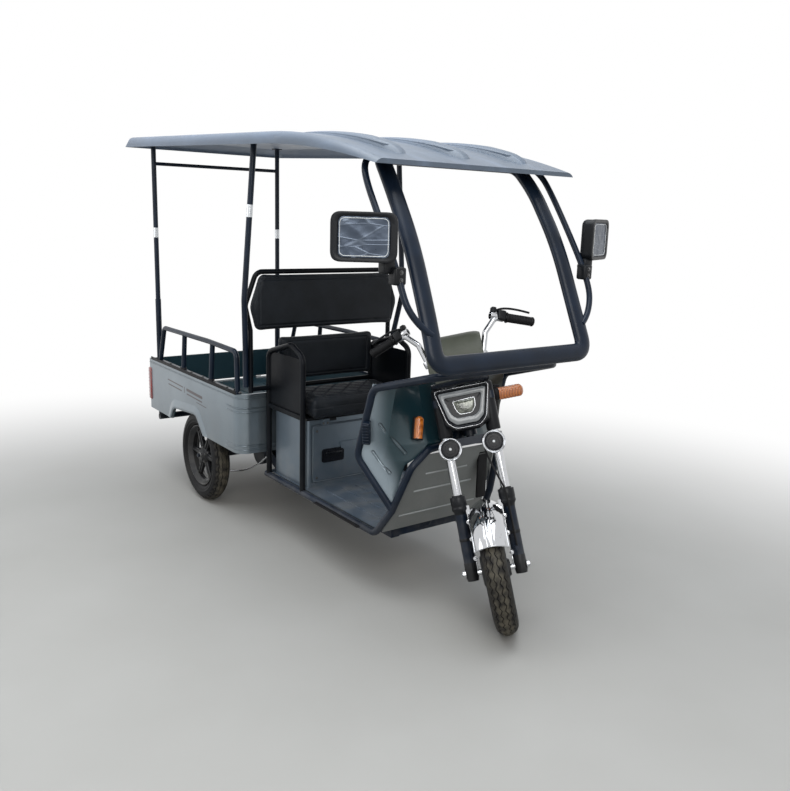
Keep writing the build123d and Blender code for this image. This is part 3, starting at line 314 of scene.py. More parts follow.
bed_side, bed_front, corner_x, corner_y, corner_radius = 0.409, -0.12635, -0.18635, 0.349, 0.060
bed_crease_z, bed_press_z = 0.634, (0.588, 0.569, 0.412, 0.393)
teal_lining, stripe_ink, pressed_edge = (0.008, 0.036, 0.050), (0.020, 0.007, 0.010, 1), 0.0035
bed_paint, bed_tone, bed_gloss = silver("bed_paint")
bed_x, bed_z = bed_paint.place("x"), bed_paint.place("z")
bed_round = (bed_x - corner_x).maths("MAXIMUM", 0)
bed_aside = (abs(bed_paint.place("y")) - corner_y).maths("MAXIMUM", 0)
bed_reach = (bed_round * bed_round + bed_aside * bed_aside).maths("SQRT")
bed_tail = 1 - bed_x.between(-1.2330, -1.2325)
bed_outside = bed_reach.between(0.0525, 0.0535).maths("MAXIMUM", bed_tail)
bed_stripes = drawn(
    bed_paint,
    [
        ((start_x, side, start_z), (end_x, side, end_z), half)
        for side in (-bed_side, bed_side)
        for start_x, start_z, end_x, end_z, half in (
            (-0.974, 0.580, -0.772, 0.574, 0.0045), (-0.965, 0.557, -0.790, 0.552, 0.0045),
            (-0.752, 0.576, -0.752, 0.552, 0.0050), (-0.720, 0.570, -0.535, 0.564, 0.0095),
            (-0.720, 0.548, -0.535, 0.542, 0.0045), (-0.600, 0.528, -0.485, 0.524, 0.0025),
        )
    ],
)
# The crease and corner pressings: bumps, and painted shade that darkens the colour along them.
bed_press_and_shade = 1 - abs(bed_z - bed_crease_z).between(0.001, 0.004)
for press_z in bed_press_z:
    dent = 1 - abs(bed_z - press_z).between(0.0012, 0.0042)
    bed_press_and_shade = bed_press_and_shade + dent * bed_x.between(-0.262, -0.225)
bed_press_and_shade = bed_press_and_shade * bed_outside
bed_colour = bed_paint.blend(bed_press_and_shade * 0.45, bed_tone, (0.10, 0.13, 0.15, 1))
bed_colour = bed_paint.blend(bed_stripes, bed_colour, stripe_ink)
bed_paint.paint(
    Base_Color=bed_paint.blend(1 - bed_outside, bed_colour, (*teal_lining, 1)),
    Metallic=bed_outside * (1 - bed_stripes) * 0.7,
    Roughness=bed_gloss + (1 - bed_outside) * 0.15,
    Normal=bed_paint.bump(1 - bed_press_and_shade, pressed_edge),
)
dress(bed_paint, "bed_side_left", "bed_side_right", "bed_front_panel")

gate_paint, gate_tone, gate_gloss = silver("tailgate_paint")
gate_outside = 1 - gate_paint.place("x").between(-1.2385, -1.2375)
gate_paint.paint(
    Base_Color=gate_paint.blend(gate_outside, (*teal_lining, 1), gate_tone),
    Metallic=gate_outside * 0.55,
    Roughness=gate_gloss + (1 - gate_outside) * 0.15,
)
dress(gate_paint, "tailgate")
lining = coated("teal_bed_lining", teal_lining, 0.25, 0.42, 300, 0.0001, Coat_Weight=0.2)
dress(lining, "bed_floor")

box_front = 0.2137
# The seat box takes a darker copy of the bed's silver paint, as painted shade.
box_paint, box_shaded_tone, box_gloss = silver("seat_box_paint", (0.155, 0.195, 0.235))
box_corners = [(box_front, y, z) for y, z in (
    (-0.228, 0.312), (0.228, 0.312), (0.228, 0.566), (-0.228, 0.566),
)]
# The pressed border: a bump, and painted shade that darkens the colour along it.
box_border_and_shade = drawn(
    box_paint, [(*ends, 0.005) for ends in zip(box_corners, box_corners[1:] + box_corners[:1])]
)
box_paint.paint(
    Base_Color=box_paint.blend(box_border_and_shade * 0.4, box_shaded_tone, (0.08, 0.10, 0.12, 1)),
    Roughness=box_gloss,
    Normal=box_paint.bump(1 - box_border_and_shade, 0.004),
)
dress(box_paint, "seat_box")

floor_paint, pan_tone, pan_gloss = silver("floor_paint", (0.135, 0.175, 0.225), Coat_Weight=0.1)
pan_dirt = floor_paint.cloud(17, 6, (1, 0.4, 1)).between(0.42, 0.75) * 0.45
floor_paint.paint(
    Base_Color=floor_paint.blend(pan_dirt, pan_tone, (0.16, 0.155, 0.14, 1)),
    Roughness=pan_gloss + pan_dirt * 0.4 + 0.08,
    Normal=floor_paint.bump(floor_paint.cloud(250, 3), 0.0001),
)
dress(floor_paint, "floor_pan")


# Leg shield: a moulded plastic pressing in silver-blue paint, bright over each bulge as painted
# light, with painted shade in dark teal in the steering's recess and a darker painted shade on its
# left side. Two folds are drawn down each outer face, darkened with painted shade. The apron below
# is plain grey.
shield_folds = [
    fold
    for side in (-1, 1)
    for fold in (
        ((0.803, side * 0.293, 0.712), (0.854, side * 0.214, 0.607), 0.009),
        ((0.776, side * 0.303, 0.604), (0.825, side * 0.259, 0.529), 0.008),
    )
]
shield_paint, shield_tone, shield_gloss = silver("leg_shield_paint", (0.34, 0.405, 0.455))
shield_y, shield_z = shield_paint.place("y"), shield_paint.place("z")
shield_bulge = shield_z.between(0.44, 0.68) * 0.075 + shield_paint.cloud(4, 2) * 0.02 + 0.245
# Painted light and shade: silver where light falls on the bulges, dark teal painted shade in the
# recess.
shield_painted_light = (abs(shield_y) - shield_bulge).between(-0.062, 0.012)
# The folds: bumps, and painted shade that darkens the colour along them.
shield_fold_and_shade = drawn(shield_paint, shield_folds)
shield_colour = shield_paint.blend(shield_painted_light, (0.010, 0.034, 0.044, 1), shield_tone)
# Painted shade: the shield's left side is painted darker, standing in for its dark reflection.
shield_colour = shield_paint.blend(
    shield_y.between(0.16, 0.24), shield_colour, (0.030, 0.034, 0.028, 1)
)
shield_paint.paint(
    Base_Color=shield_paint.blend(shield_fold_and_shade * 0.5, shield_colour, (0.12, 0.15, 0.17, 1)),
    Metallic=shield_painted_light * 0.3 + 0.15,
    Roughness=shield_gloss,
    Normal=shield_paint.bump(1 - shield_fold_and_shade, 0.006),
)
dress(shield_paint, "leg_shield")
apron_paint, apron_tone, apron_gloss = silver(
    "apron_paint", (0.20, 0.21, 0.205), Metallic=0.25, Coat_Weight=0.1
)
apron_speck = apron_paint.cloud(240, 2).between(0.62, 0.72) * 0.12
apron_paint.paint(
    Base_Color=apron_paint.blend(apron_speck, apron_tone, (0.6, 0.62, 0.62, 1)),
    Roughness=apron_gloss + 0.12,
    Normal=apron_paint.bump(apron_paint.cloud(500, 2), 0.00008),
)
dress(apron_paint, "front_apron")


# Fittings: satin black plastic shells, bright chromed tube, moulded grey plastic, soft rubber, and
# amber, red and mirrored lenses, each with its own wear. The roof is moulded blue-grey plastic,
# painted lighter towards its top as a painted highlight.
black_plastic = coated(
    "black_plastic", (0.007, 0.008, 0.010), 0.25, 0.38, 700, 0.0001, 0.1, Specular_IOR_Level=0.22
)
dress(black_plastic, "headlamp_shell", "mirror_shells", "seat_base")
gloss_black = coated(
    "gloss_black", (0.005, 0.006, 0.009), 0.3, 0.26, 90, 0.00005, Specular_IOR_Level=0.25
)
dash_plastic = coated(
    "dash_plastic", (0.082, 0.086, 0.066), 0.15, 0.45, 900, 0.0001, Specular_IOR_Level=0.3
)
dress(dash_plastic, "instrument_panel")
battery_plastic = coated("battery_plastic", (0.02, 0.02, 0.023), 0.2, 0.5, 500, 0.0002, 0.2)
dress(battery_plastic, "battery_pack")
soft_rubber = coated(
    "soft_rubber", (0.007, 0.007, 0.008), 0.3, 0.58, 600, 0.0002, 0.08, Specular_IOR_Level=0.2
)
dress(soft_rubber, "front_brake_cable", "handlebar_grips")
chrome = Finish("chromed_steel", Metallic=1.0)
chrome_pits = chrome.cloud(60, 5).between(0.58, 0.75)
chrome.paint(
    Base_Color=chrome.blend(chrome_pits * 0.35, (0.56, 0.57, 0.59, 1), (0.34, 0.33, 0.31, 1)),
    Roughness=chrome.cloud(12, 3) * 0.06 + 0.045 + chrome_pits * 0.2,
    Normal=chrome.bump(chrome.cloud(35, 2), 0.0001),
)
dress(chrome, "fork_stanchions", "front_mudguard", "handlebar", "front_axle", "round_lamps")


def lens(name, deep, bright, ribs, turn):
    """Glossy lens plastic: deep and bright by turns over its moulded optics."""
    finish = Finish(name, Coat_Weight=1.0, Coat_Roughness=0.04)
    waves = finish.node(
        "ShaderNodeTexWave", {"bands_direction": turn},
        {"Vector": finish.place(), "Scale": ribs}, "Fac",
    )
    finish.paint(
        Base_Color=finish.blend(waves * 0.5 + finish.cloud(40, 3) * 0.5, deep, bright),
        Roughness=finish.cloud(50, 2) * 0.1 + 0.12,
        Normal=finish.bump(waves, 0.0006),
    )
    return finish


amber = lens("amber_lens", (0.30, 0.060, 0.006, 1), (0.80, 0.235, 0.028, 1), 60, "X")
dress(amber, "turn_signals")
red = lens("red_lens", (0.11, 0.006, 0.006, 1), (0.32, 0.022, 0.018, 1), 40, "Z")
dress(red, "tail_lamps")
mirror_film = Finish("mirror_film", Metallic=0.6)
mirror_where = mirror_film.node(
    "ShaderNodeMapping", sockets={0: mirror_film.place(), "Scale": (0.5, 0.3, 1.9)}
)
mirror_creases = mirror_film.node(
    "ShaderNodeTexVoronoi", {"feature": "DISTANCE_TO_EDGE"}, {"Vector": mirror_where, "Scale": 17}
)
mirror_fold = 1 - mirror_creases.between(0.0, 0.06)
mirror_film.paint(
    Base_Color=mirror_film.blend(
        mirror_fold * 0.17 + mirror_film.cloud(20, 3) * 0.22,
        (0.034, 0.047, 0.072, 1), (0.28, 0.33, 0.40, 1),
    ),
    Roughness=mirror_film.cloud(30, 3) * 0.2 + 0.22,
    Normal=mirror_film.bump(mirror_fold * 0.4 + mirror_film.cloud(18, 2) * 0.4, 0.0012),
)
dress(mirror_film, "mirror_glasses")
clear_lens = coated("clear_lens", (0.22, 0.23, 0.235), 0.15, 0.2, 150, 0.0001, Coat_Weight=0.4)
dress(clear_lens, "headlamp_lens")
roof_plastic = Finish("canopy_plastic", Specular_IOR_Level=0.6)
roof_scuff = roof_plastic.cloud(8, 6, (0.35, 1.6, 1)).between(0.45, 0.8)
# Painted highlight: the roof's colour is lighter towards its top.
roof_top_highlight = roof_plastic.place("z").between(1.700, 1.790)
roof_plastic.paint(
    Base_Color=roof_plastic.blend(
        roof_scuff * 0.35 + roof_top_highlight * 0.5, (0.085, 0.112, 0.150, 1), (0.19, 0.245, 0.34, 1)
    ),
    Roughness=roof_plastic.cloud(16, 4) * 0.14 + 0.33,
    Normal=roof_plastic.bump(roof_plastic.cloud(650, 2), 0.00012),
)
dress(roof_plastic, "canopy_roof")
bare = coated("bare_node_coat", (0.02, 0.02, 0.02), 0.2, 0.4, 500, 0.0001)
dress(
    bare, "front_rim", "rear_rim_left", "rear_rim_right", "seat_cushion", "backrest_pads",
    "front_tyre", "rear_tyre_left", "rear_tyre_right",
)


# Tyres: black rubber carcasses, ribbed along the road with zigzag grooves that mirror each other,
# and notched over the shoulders. The tread is worn and holds pale road dust.
def join(form, part, place=Matrix()):
    """Weld a part's mesh, point its faces outwards and put it into a piece's form."""
    bmesh.ops.remove_doubles(part, verts=part.verts[:], dist=0.00001)
    bmesh.ops.recalc_face_normals(part, faces=part.faces[:])
    bmesh.ops.transform(part, matrix=place, verts=part.verts[:])
    if place.to_3x3().determinant() < 0:
        bmesh.ops.reverse_faces(part, faces=part.faces[:])
    shape = bpy.data.meshes.new("part")
    part.to_mesh(shape)
    part.free()
    form.from_mesh(shape)
    bpy.data.meshes.remove(shape)


def spun(part, profile, steps, closed):
    """Turn a profile of (radius, height) about the Z axis."""
    ring = [part.verts.new((radius, 0, height)) for radius, height in profile]
    edges = [part.edges.new(pair) for pair in zip(ring, ring[1:] + (ring[:1] if closed else []))]
    bmesh.ops.spin(
        part, geom=ring + edges, axis=(0, 0, 1), cent=(0, 0, 0), angle=2 * pi, steps=steps,
        use_merge=True,
    )


def turned(form, profile, place=Matrix(), steps=64, closed=False):
    """Add a turned part: a profile of (radius, height) about the local Z axis."""
    part = bmesh.new()
    spun(part, profile, steps, closed)
    join(form, part, place)


def piece(name, form, finish, body, replaces=(), sharp=35):
    """Make a finished form a piece that rides on a body and takes its slot."""
    mesh = bpy.data.meshes.new(name)
    form.to_mesh(mesh)
    form.free()
    mesh.materials.append(finish.material)
    mesh.polygons.foreach_set("use_smooth", [True] * len(mesh.polygons))
    mesh.set_sharp_from_angle(angle=radians(sharp))
    made = bpy.data.objects.new(name, mesh)
    scene.collection.objects.link(made)
    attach(made, body)
    if replaces:
        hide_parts(*replaces)
    return made


def at(x, y, z, axis="Z", turn=0.0):
    """A place that is turned about one of its axes."""
    return Matrix.Translation((x, y, z)) @ Matrix.Rotation(turn, 4, axis)


def aimed(place, run, up="X"):
    """A place whose Z axis runs that way."""
    return Matrix.Translation(place) @ Vector(run).to_track_quat("Z", up).to_matrix().to_4x4()


steering_joint = next(joint for joint in frame["joints"] if joint["name"] == "steering_turn")
rake, steer_angle, axle_lead = radians(20.9), radians(41), 0.049
fork_up = Vector(steering_joint["axis"]).normalized()
fork_ahead = Matrix.Rotation(-steer_angle, 3, fork_up) @ Vector((cos(rake), 0, sin(rake)))
fork_axes = Matrix((fork_ahead, fork_up.cross(fork_ahead), fork_up)).transposed().to_4x4()
steering = Matrix.Translation(steering_joint["pos_m"]) @ fork_axes
axle_x, track_half, wheel_height = -0.67135, 0.337, 0.233
# Each wheel: its place, body, tyre, rim, then the tread's grooves in degrees from the crown, swing
# of the zigzag, zigzags, notch depth and notch steps, and the hub's outer and inner reach.
wheels = {
    "front": (
        steering @ at(axle_lead, 0, 0, "X", -pi / 2), "front_wheel", "front_tyre", "front_rim",
        ((13, 40), 5.5, 44, 0.0026, 1), (0.052, -0.052),
    )
}
for side, hand in ((-1, "right"), (1, "left")):
    wheels[f"rear_{hand}"] = (
        at(axle_x, side * track_half, wheel_height, "X", -side * pi / 2), f"rear_wheel_{hand}",
        f"rear_tyre_{hand}", f"rear_rim_{hand}", ((15, 42), 4.0, 36, 0.005, 2), (0.030, -0.034),
    )
crown_radius, crown_ring = 0.042, 0.191
groove_half, groove_depth, zigzag_steps, tread_lean = 2.6, 0.0042, 6, 66


def tyre(place, grooves, swing, zigzags, notch_depth, notch_steps):
    """One tyre: its section is spun, then the tread's rings swing and its shoulders are notched."""
    section = [
        (148, 0), (132, 0.0004), (118, 0), (116, 0.0011), (112, 0.0011), (110, 0), (98, 0),
        (96, 0.0009), (92, 0.0009), (90, 0), (80, 0), (72, 0), (tread_lean, 0),
    ]
    for groove in sorted(grooves, reverse=True):
        section += [
            (groove + 14, 0), (groove + groove_half + 1, 0), (groove + groove_half, -0.0006),
            (groove + groove_half * 0.55, -groove_depth),
            (groove - groove_half * 0.55, -groove_depth),
            (groove - groove_half, -0.0006), (groove - groove_half - 1, 0),
        ]
    section += [(5, 0)]
    whole = section + [(0, 0)] + [(-angle, rise) for angle, rise in reversed(section)]
    profile = [
        (
            crown_ring + (crown_radius + rise) * cos(radians(angle)),
            (crown_radius + rise) * sin(radians(angle)),
        )
        for angle, rise in whole
    ]
    form = bmesh.new()
    tread = form.verts.layers.float.new("tread")
    steps = zigzags * zigzag_steps
    spun(form, profile, steps, True)
    for vert in form.verts:
        reach = hypot(vert.co.x, vert.co.y)
        lean = atan2(vert.co.z, reach - crown_ring) * 180 / pi
        depth = hypot(vert.co.z, reach - crown_ring)
        turn = atan2(vert.co.y, vert.co.x)
        step = round(turn / (2 * pi) * steps) % zigzag_steps
        if abs(lean) < tread_lean:
            wave = abs(step - zigzag_steps / 2) / (zigzag_steps / 2) * 2 - 1
            outer = abs(lean) > (grooves[0] + grooves[1]) / 2
            toward = (-1 if outer else 1) * (1 if lean > 0 else -1)
            swung = lean + toward * wave * swing * min(1, abs(lean) / 6)
            if 50 < abs(lean) < 64 and step < notch_steps:
                depth -= notch_depth
            worn = 1.0 if abs(lean) < 30 else 0.3
            vert[tread] = worn if depth > crown_radius - 0.001 else 0.05
            out = crown_ring + depth * cos(radians(swung))
            vert.co = Vector((out * cos(turn), out * sin(turn), depth * sin(radians(swung))))
    bmesh.ops.recalc_face_normals(form, faces=form.faces[:])
    bmesh.ops.transform(form, matrix=place, verts=form.verts[:])
    return form


rubber = Finish("tyre_rubber", Specular_IOR_Level=0.18)
rubber_tread = rubber.node("ShaderNodeAttribute", {"attribute_name": "tread"}, output="Fac")
rubber_dust = rubber_tread * rubber.cloud(30, 5).between(0.25, 0.7) * 0.8
rubber_dust = rubber_dust + rubber.cloud(9, 4).between(0.45, 0.8) * 0.12
rubber.paint(
    Base_Color=rubber.blend(rubber_dust, (0.006, 0.006, 0.007, 1), (0.135, 0.120, 0.090, 1)),
    Roughness=rubber_dust * 0.35 + 0.5,
    Normal=rubber.bump(rubber.cloud(700, 2), 0.00025),
)
for style, (place, body, tyre_node, rim_node, tread_terms, hub) in wheels.items():
    piece(
        f"tyre_{style}", tyre(place, *tread_terms), rubber, body, [tyre_node], 28
    )


# Wheels: cast alloy painted satin black, with a stepped rim, six tapered spokes that are ribbed
# along the middle, and a hub. Its cap and studs are bare steel, as is the brake drum behind it.
def softened(form, edges, offset, segments):
    bmesh.ops.bevel(
        form, geom=edges, offset=offset, segments=segments, profile=0.5, affect="EDGES",
        material=-1,
    )


def block(form, centre, size, edge=0.001, place=Matrix(), taper=1.0, segments=2):
    """Add a block with rounded edges; its +X end is narrowed by the taper."""
    part = bmesh.new()
    corners = bmesh.ops.create_cube(part, size=1)["verts"]
    bmesh.ops.scale(part, vec=size, verts=corners)
    for corner in corners:
        if corner.co.x > 0:
            corner.co.y *= taper
            corner.co.z *= taper
    bmesh.ops.translate(part, vec=centre, verts=corners)
    softened(part, part.edges[:], edge, segments)
    join(form, part, place)


def bolt(form, place, radius=0.006, height=0.005):
    """Add a hexagon head on its washer, standing on a face along local Z."""
    turned(form, [(0, 0), (radius * 1.5, 0), (radius * 1.5, 0.0012), (radius, 0.0014)], place, 24)
    part = bmesh.new()
    bmesh.ops.create_cone(
        part, cap_ends=True, segments=6, radius1=radius, radius2=radius * 0.94, depth=height,
        matrix=Matrix.Translation((0, 0, height / 2 + 0.001)),
    )
    softened(part, part.edges[:], radius * 0.12, 1)
    join(form, part, place)


alloy = coated(
    "black_alloy", (0.008, 0.009, 0.011), 0.2, 0.36, 500, 0.0001, 0.14,
    Coat_Weight=0.1, Specular_IOR_Level=0.3,
)
drum_steel = coated(
    "brake_drum_steel", (0.14, 0.14, 0.14), 0.2, 0.42, 300, 0.0001, 0.3, Metallic=0.9
)
rim_half = [
    (0.1555, 0.0285), (0.1545, 0.0315), (0.1510, 0.0325), (0.1475, 0.0305), (0.1440, 0.0225),
    (0.1370, 0.0150), (0.1335, 0.0110),
]
rim_profile = rim_half + [(radius, -height) for radius, height in reversed(rim_half)]
drum_profile = [
    (0.030, -0.013), (0.0705, -0.014), (0.0725, -0.017), (0.0725, -0.028), (0.069, -0.031),
    (0.030, -0.032),
]
for style, (place, body, tyre_node, rim_node, tread_terms, hub) in wheels.items():
    hub_reach, hub_inner = hub
    form = bmesh.new()
    turned(form, rim_profile, place, 96, True)
    hub_profile = [
        (0.011, hub_inner), (0.050, hub_inner), (0.056, hub_inner + 0.004), (0.056, -0.012),
        (0.046, -0.008), (0.044, 0.010), (0.038, 0.016), (0.032, hub_reach - 0.006),
        (0.028, hub_reach), (0.011, hub_reach),
    ]
    turned(form, hub_profile, place, 64, True)
    for spoke in range(6):
        turn = place @ Matrix.Rotation(spoke * pi / 3, 4, "Z")
        block(form, (0.090, 0, 0), (0.098, 0.034, 0.020), 0.0035, turn, 0.72, 3)
        for rib in (0.0105, -0.0105):
            block(form, (0.090, 0, rib), (0.088, 0.012, 0.008), 0.003, turn, 0.8, 3)
    piece(f"wheel_{style}", form, alloy, body, [rim_node], 40)
    form = bmesh.new()
    for stud in range(5):
        turn = place @ Matrix.Rotation(stud * 2 * pi / 5 + 0.3, 4, "Z")
        bolt(form, turn @ Matrix.Translation((0.036, 0, 0.014)), 0.006, 0.006)
    cap_top = [(0, 0.004), (0.012, 0.004), (0.017, 0.001)]
    if style == "front":
        cap_top = [(0.0115, -0.001), (0.017, -0.001)]
    cap_profile = [(radius, hub_reach + rise) for radius, rise in cap_top + [(0.018, -0.006)]]
    turned(form, cap_profile, place)
    turned(form, drum_profile, place)
    piece(f"wheel_steel_{style}", form, drum_steel, body)


# Seat cushion: black vinyl over foam, quilted in diamonds with a sewn border, on its tipping base.
# The vinyl is blown up by a cloth simulation, then the quilting lines are drawn in.
vinyl = Finish("black_vinyl", Specular_IOR_Level=0.2, Sheen_Weight=0.03)
vinyl_seam = vinyl.node("ShaderNodeAttribute", {"attribute_name": "seam"}, output="Fac")
vinyl_grain = vinyl.node(
    "ShaderNodeTexVoronoi", {"feature": "DISTANCE_TO_EDGE"},
    {"Vector": vinyl.place(), "Scale": 420},
)
vinyl.paint(
    Base_Color=vinyl.blend(
        vinyl.cloud(7, 4).between(0.3, 0.75) * 0.8 + vinyl_seam * 0.2,
        (0.005, 0.007, 0.010, 1), (0.014, 0.018, 0.024, 1),
    ),
    Roughness=vinyl.cloud(18, 3) * 0.2 + 0.34,
    Normal=vinyl.bump(vinyl_grain.between(0.0, 0.25), 0.0003, 0.7),
)


def stuffed(form, voxel, cap, pressure):
    """Remesh a pad's plain form and let cloth under pressure round it, up to a cap per point."""
    mesh = bpy.data.meshes.new("stuffing")
    form.to_mesh(mesh)
    form.free()
    made = bpy.data.objects.new("stuffing", mesh)
    scene.collection.objects.link(made)
    bpy.context.view_layer.objects.active = made
    made.select_set(True)
    remesh = made.modifiers.new("remesh", "REMESH")
    remesh.mode, remesh.voxel_size = "VOXEL", voxel
    bpy.ops.object.modifier_apply(modifier="remesh")
    start = [vert.co.copy() for vert in made.data.vertices]
    cloth = made.modifiers.new("cloth", "CLOTH")
    cloth.settings.use_pressure = True
    cloth.settings.uniform_pressure_force = pressure
    cloth.settings.effector_weights.gravity = 0
    for moment in range(1, 21):
        scene.frame_set(moment)
    bpy.ops.object.modifier_apply(modifier="cloth")
    scene.frame_set(1)
    for vert, before in zip(made.data.vertices, start):
        moved = vert.co - before
        if moved.length > cap:
            vert.co = before + moved * (cap / moved.length)
    made.select_set(False)
    form = bmesh.new()
    form.from_mesh(made.data)
    bpy.data.objects.remove(made)
    for smoothing in range(3):
        bmesh.ops.smooth_vert(
            form, verts=form.verts[:], factor=0.5, use_axis_x=True, use_axis_y=True,
            use_axis_z=True,
        )
    bmesh.ops.subdivide_edges(
        form, edges=form.edges[:], cuts=1, use_grid_fill=True, smooth=0.0
    )
    return form


def eased(share):
    return share * share * (3 - 2 * share)


foam_voxel, quilt_pitch, quilt_depth = 0.0055, 0.086, 0.0045
quilt_margin, top_depth, girdle_height, girdle_half = 0.036, 0.03, 0.052, 0.004
cushion_low, cushion_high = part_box("seat_cushion")
cushion_size, cushion_middle = cushion_high - cushion_low, (cushion_low + cushion_high) / 2
cushion_form = bmesh.new()
cushion_cube = bmesh.ops.create_cube(cushion_form, size=1)["verts"]
bmesh.ops.scale(cushion_form, vec=cushion_size - Vector((0.014, 0.014, 0.014)), verts=cushion_cube)
bmesh.ops.translate(cushion_form, vec=cushion_middle, verts=cushion_cube)
softened(cushion_form, cushion_form.edges[:], 0.016, 4)
cushion_form = stuffed(cushion_form, foam_voxel, 0.010, 4)
seam = cushion_form.verts.layers.float.new("seam")
for vert in cushion_form.verts:
    along, across = vert.co.x - cushion_middle.x, vert.co.y - cushion_middle.y
    edge_x, edge_y = cushion_size.x / 2 - abs(along), cushion_size.y / 2 - abs(across)
    if vert.co.z > cushion_high.z - top_depth:
        diagonals = [
            abs(((along + turn * across) / quilt_pitch) % 1 - 0.5) * quilt_pitch for turn in (-1, 1)
        ]
        line = min(quilt_pitch / 2 - diagonal for diagonal in diagonals)
        inside = min(1, max(0, (edge_x - quilt_margin) / 0.006)) * min(
            1, max(0, (edge_y - quilt_margin) / 0.006)
        )
        border = min(
            abs(edge_x - 0.034) if edge_y > 0.03 else 1, abs(edge_y - 0.034) if edge_x > 0.03 else 1
        )
        sunk = max(max(0, 1 - line / 0.007) * inside, max(0, 1 - border / 0.005))
        vert.co.z -= quilt_depth * eased(sunk)
        vert[seam] = sunk
    girdle = abs(vert.co.z - cushion_low.z - girdle_height)
    if girdle < girdle_half and vert.co.z < cushion_high.z - top_depth:
        inward = Vector((along, across * 0.3, 0)).normalized()
        vert.co -= inward * 0.0022 * (1 - girdle / girdle_half)
cushion = piece(
    "quilted_cushion", cushion_form, vinyl, "seat", ["seat_cushion"], 180
)


# Backrest pads: a long upper one with cut corners that reaches the frame's tube, and a lower one,
# black vinyl over foam on steel backs, each with a raised inner panel inside a sewn line.
pad_back, pad_front = (corner.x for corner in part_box("backrest_pads"))
pad_inset, seam_margin, row_margin, seam_half = 0.007, 0.052, 0.034, 0.007
pad_halves = {
    "upper": [(0.372, 0.941), (0.402, 1.050), (0.352, 1.207)],
    "lower": [(0.261, 0.710), (0.261, 0.930)],
}
for pad_name, pad_half in pad_halves.items():
    pad_heights = [z for y, z in pad_half]
    pad_middle = sum(pad_heights) / len(pad_heights)
    pad_outline = [(-y, z) for y, z in pad_half] + pad_half[::-1]
    pad_form = bmesh.new()
    pad_face = pad_form.faces.new(
        [
            pad_form.verts.new(
                (
                    pad_back + 0.005, y - copysign(pad_inset, y),
                    z - pad_inset * (1 if z > pad_middle else -1),
                )
            )
            for y, z in pad_outline
        ]
    )
    pad_grown = bmesh.ops.extrude_face_region(pad_form, geom=[pad_face])["geom"]
    pad_far = [item for item in pad_grown if isinstance(item, bmesh.types.BMVert)]
    bmesh.ops.translate(pad_form, vec=(pad_front - pad_back - 0.012, 0, 0), verts=pad_far)
    bmesh.ops.recalc_face_normals(pad_form, faces=pad_form.faces[:])
    spans = [edge for edge in pad_form.edges if abs(edge.verts[0].co.x - edge.verts[1].co.x) > 0.01]
    softened(pad_form, spans, 0.022, 5)
    rims = [edge for edge in pad_form.edges if edge.is_manifold and edge.calc_face_angle() > 1.2]
    softened(pad_form, rims, 0.009, 3)
    pad_form = stuffed(pad_form, foam_voxel, 0.008, 3.5)
    seam = pad_form.verts.layers.float.new("seam")
    seam_y = max(y for y, z in pad_half) - seam_margin
    seam_rows = [min(pad_heights) + row_margin, max(pad_heights) - row_margin]
    for vert in pad_form.verts:
        if vert.co.x > pad_front - 0.025:
            over = abs(vert.co.y) - seam_y
            aside = min(
                min(abs(vert.co.z - row) for row in seam_rows) if over < 0 else 1,
                abs(over) if seam_rows[0] - 0.002 < vert.co.z < seam_rows[1] + 0.002 else 1,
            )
            sunk = max(0, 1 - aside / seam_half)
            vert.co.x -= 0.004 * eased(sunk)
            vert[seam] = sunk
    pad = piece(
        f"backrest_pad_{pad_name}", pad_form, vinyl, "chassis", ["backrest_pads"],
        180,
    )


# Windscreen hoop: thick flat-oval steel tube, bent in one curve from the guard's top up under the
# roof, with a slim bent stay outside each pillar. Black powder coat, and no glass.
def rod(form, points, radius, place=Matrix(), closed=False, sides=8, smooth=True):
    """Add a rod or tube along one smooth curve, or straight from point to point."""
    data = bpy.data.curves.new("rod", "CURVE")
    data.dimensions = "3D"
    data.bevel_depth = radius
    data.bevel_resolution = sides // 2
    data.use_fill_caps = not closed
    line = data.splines.new("NURBS" if smooth else "POLY")
    line.points.add(len(points) - 1)
    for spot, point in zip(line.points, points):
        spot.co = (*point, 1)
    line.use_cyclic_u = closed
    if smooth:
        line.order_u = 4 if len(points) > 3 else 3
        line.use_endpoint_u = not closed
        line.resolution_u = 6
    holder = bpy.data.objects.new("rod", data)
    scene.collection.objects.link(holder)
    shape = bpy.data.meshes.new_from_object(holder)
    part = bmesh.new()
    part.from_mesh(shape)
    bpy.data.objects.remove(holder)
    bpy.data.curves.remove(data)
    bpy.data.meshes.remove(shape)
    join(form, part, place)


def swept(form, line, section):
    """Add a closed bar of any section, given as (across, out), along (point, way out) steps."""
    part = bmesh.new()
    rings = []
    for spot, (point, out) in enumerate(line):
        ahead = line[(spot + 1) % len(line)][0] - line[spot - 1][0]
        side = ahead.cross(out).normalized()
        rings.append(
            [part.verts.new(point + side * across + out * depth) for across, depth in section]
        )
    for ring, after in zip(rings, rings[1:] + rings[:1]):
        edges = [
            part.edges.get(pair) or part.edges.new(pair)
            for loop in (ring, after)
            for pair in zip(loop, loop[1:] + loop[:1])
        ]
        bmesh.ops.bridge_loops(part, edges=edges)
    join(form, part)


def rounded(points, radius, steps=6, closed=True):
    """The points of a run with each corner replaced by an arc-like bend of that reach."""
    found = []
    for spot, here in enumerate([Vector(point) for point in points]):
        if not closed and spot in (0, len(points) - 1):
            found.append(here)
            continue
        before, after = Vector(points[spot - 1]), Vector(points[(spot + 1) % len(points)])
        reach = min(radius, (here - before).length * 0.48, (after - here).length * 0.48)
        start = here + (before - here).normalized() * reach
        end = here + (after - here).normalized() * reach
        for share in [step / steps for step in range(steps + 1)]:
            found.append(start * (1 - share) ** 2 + here * 2 * share * (1 - share) + end * share**2)
    return found


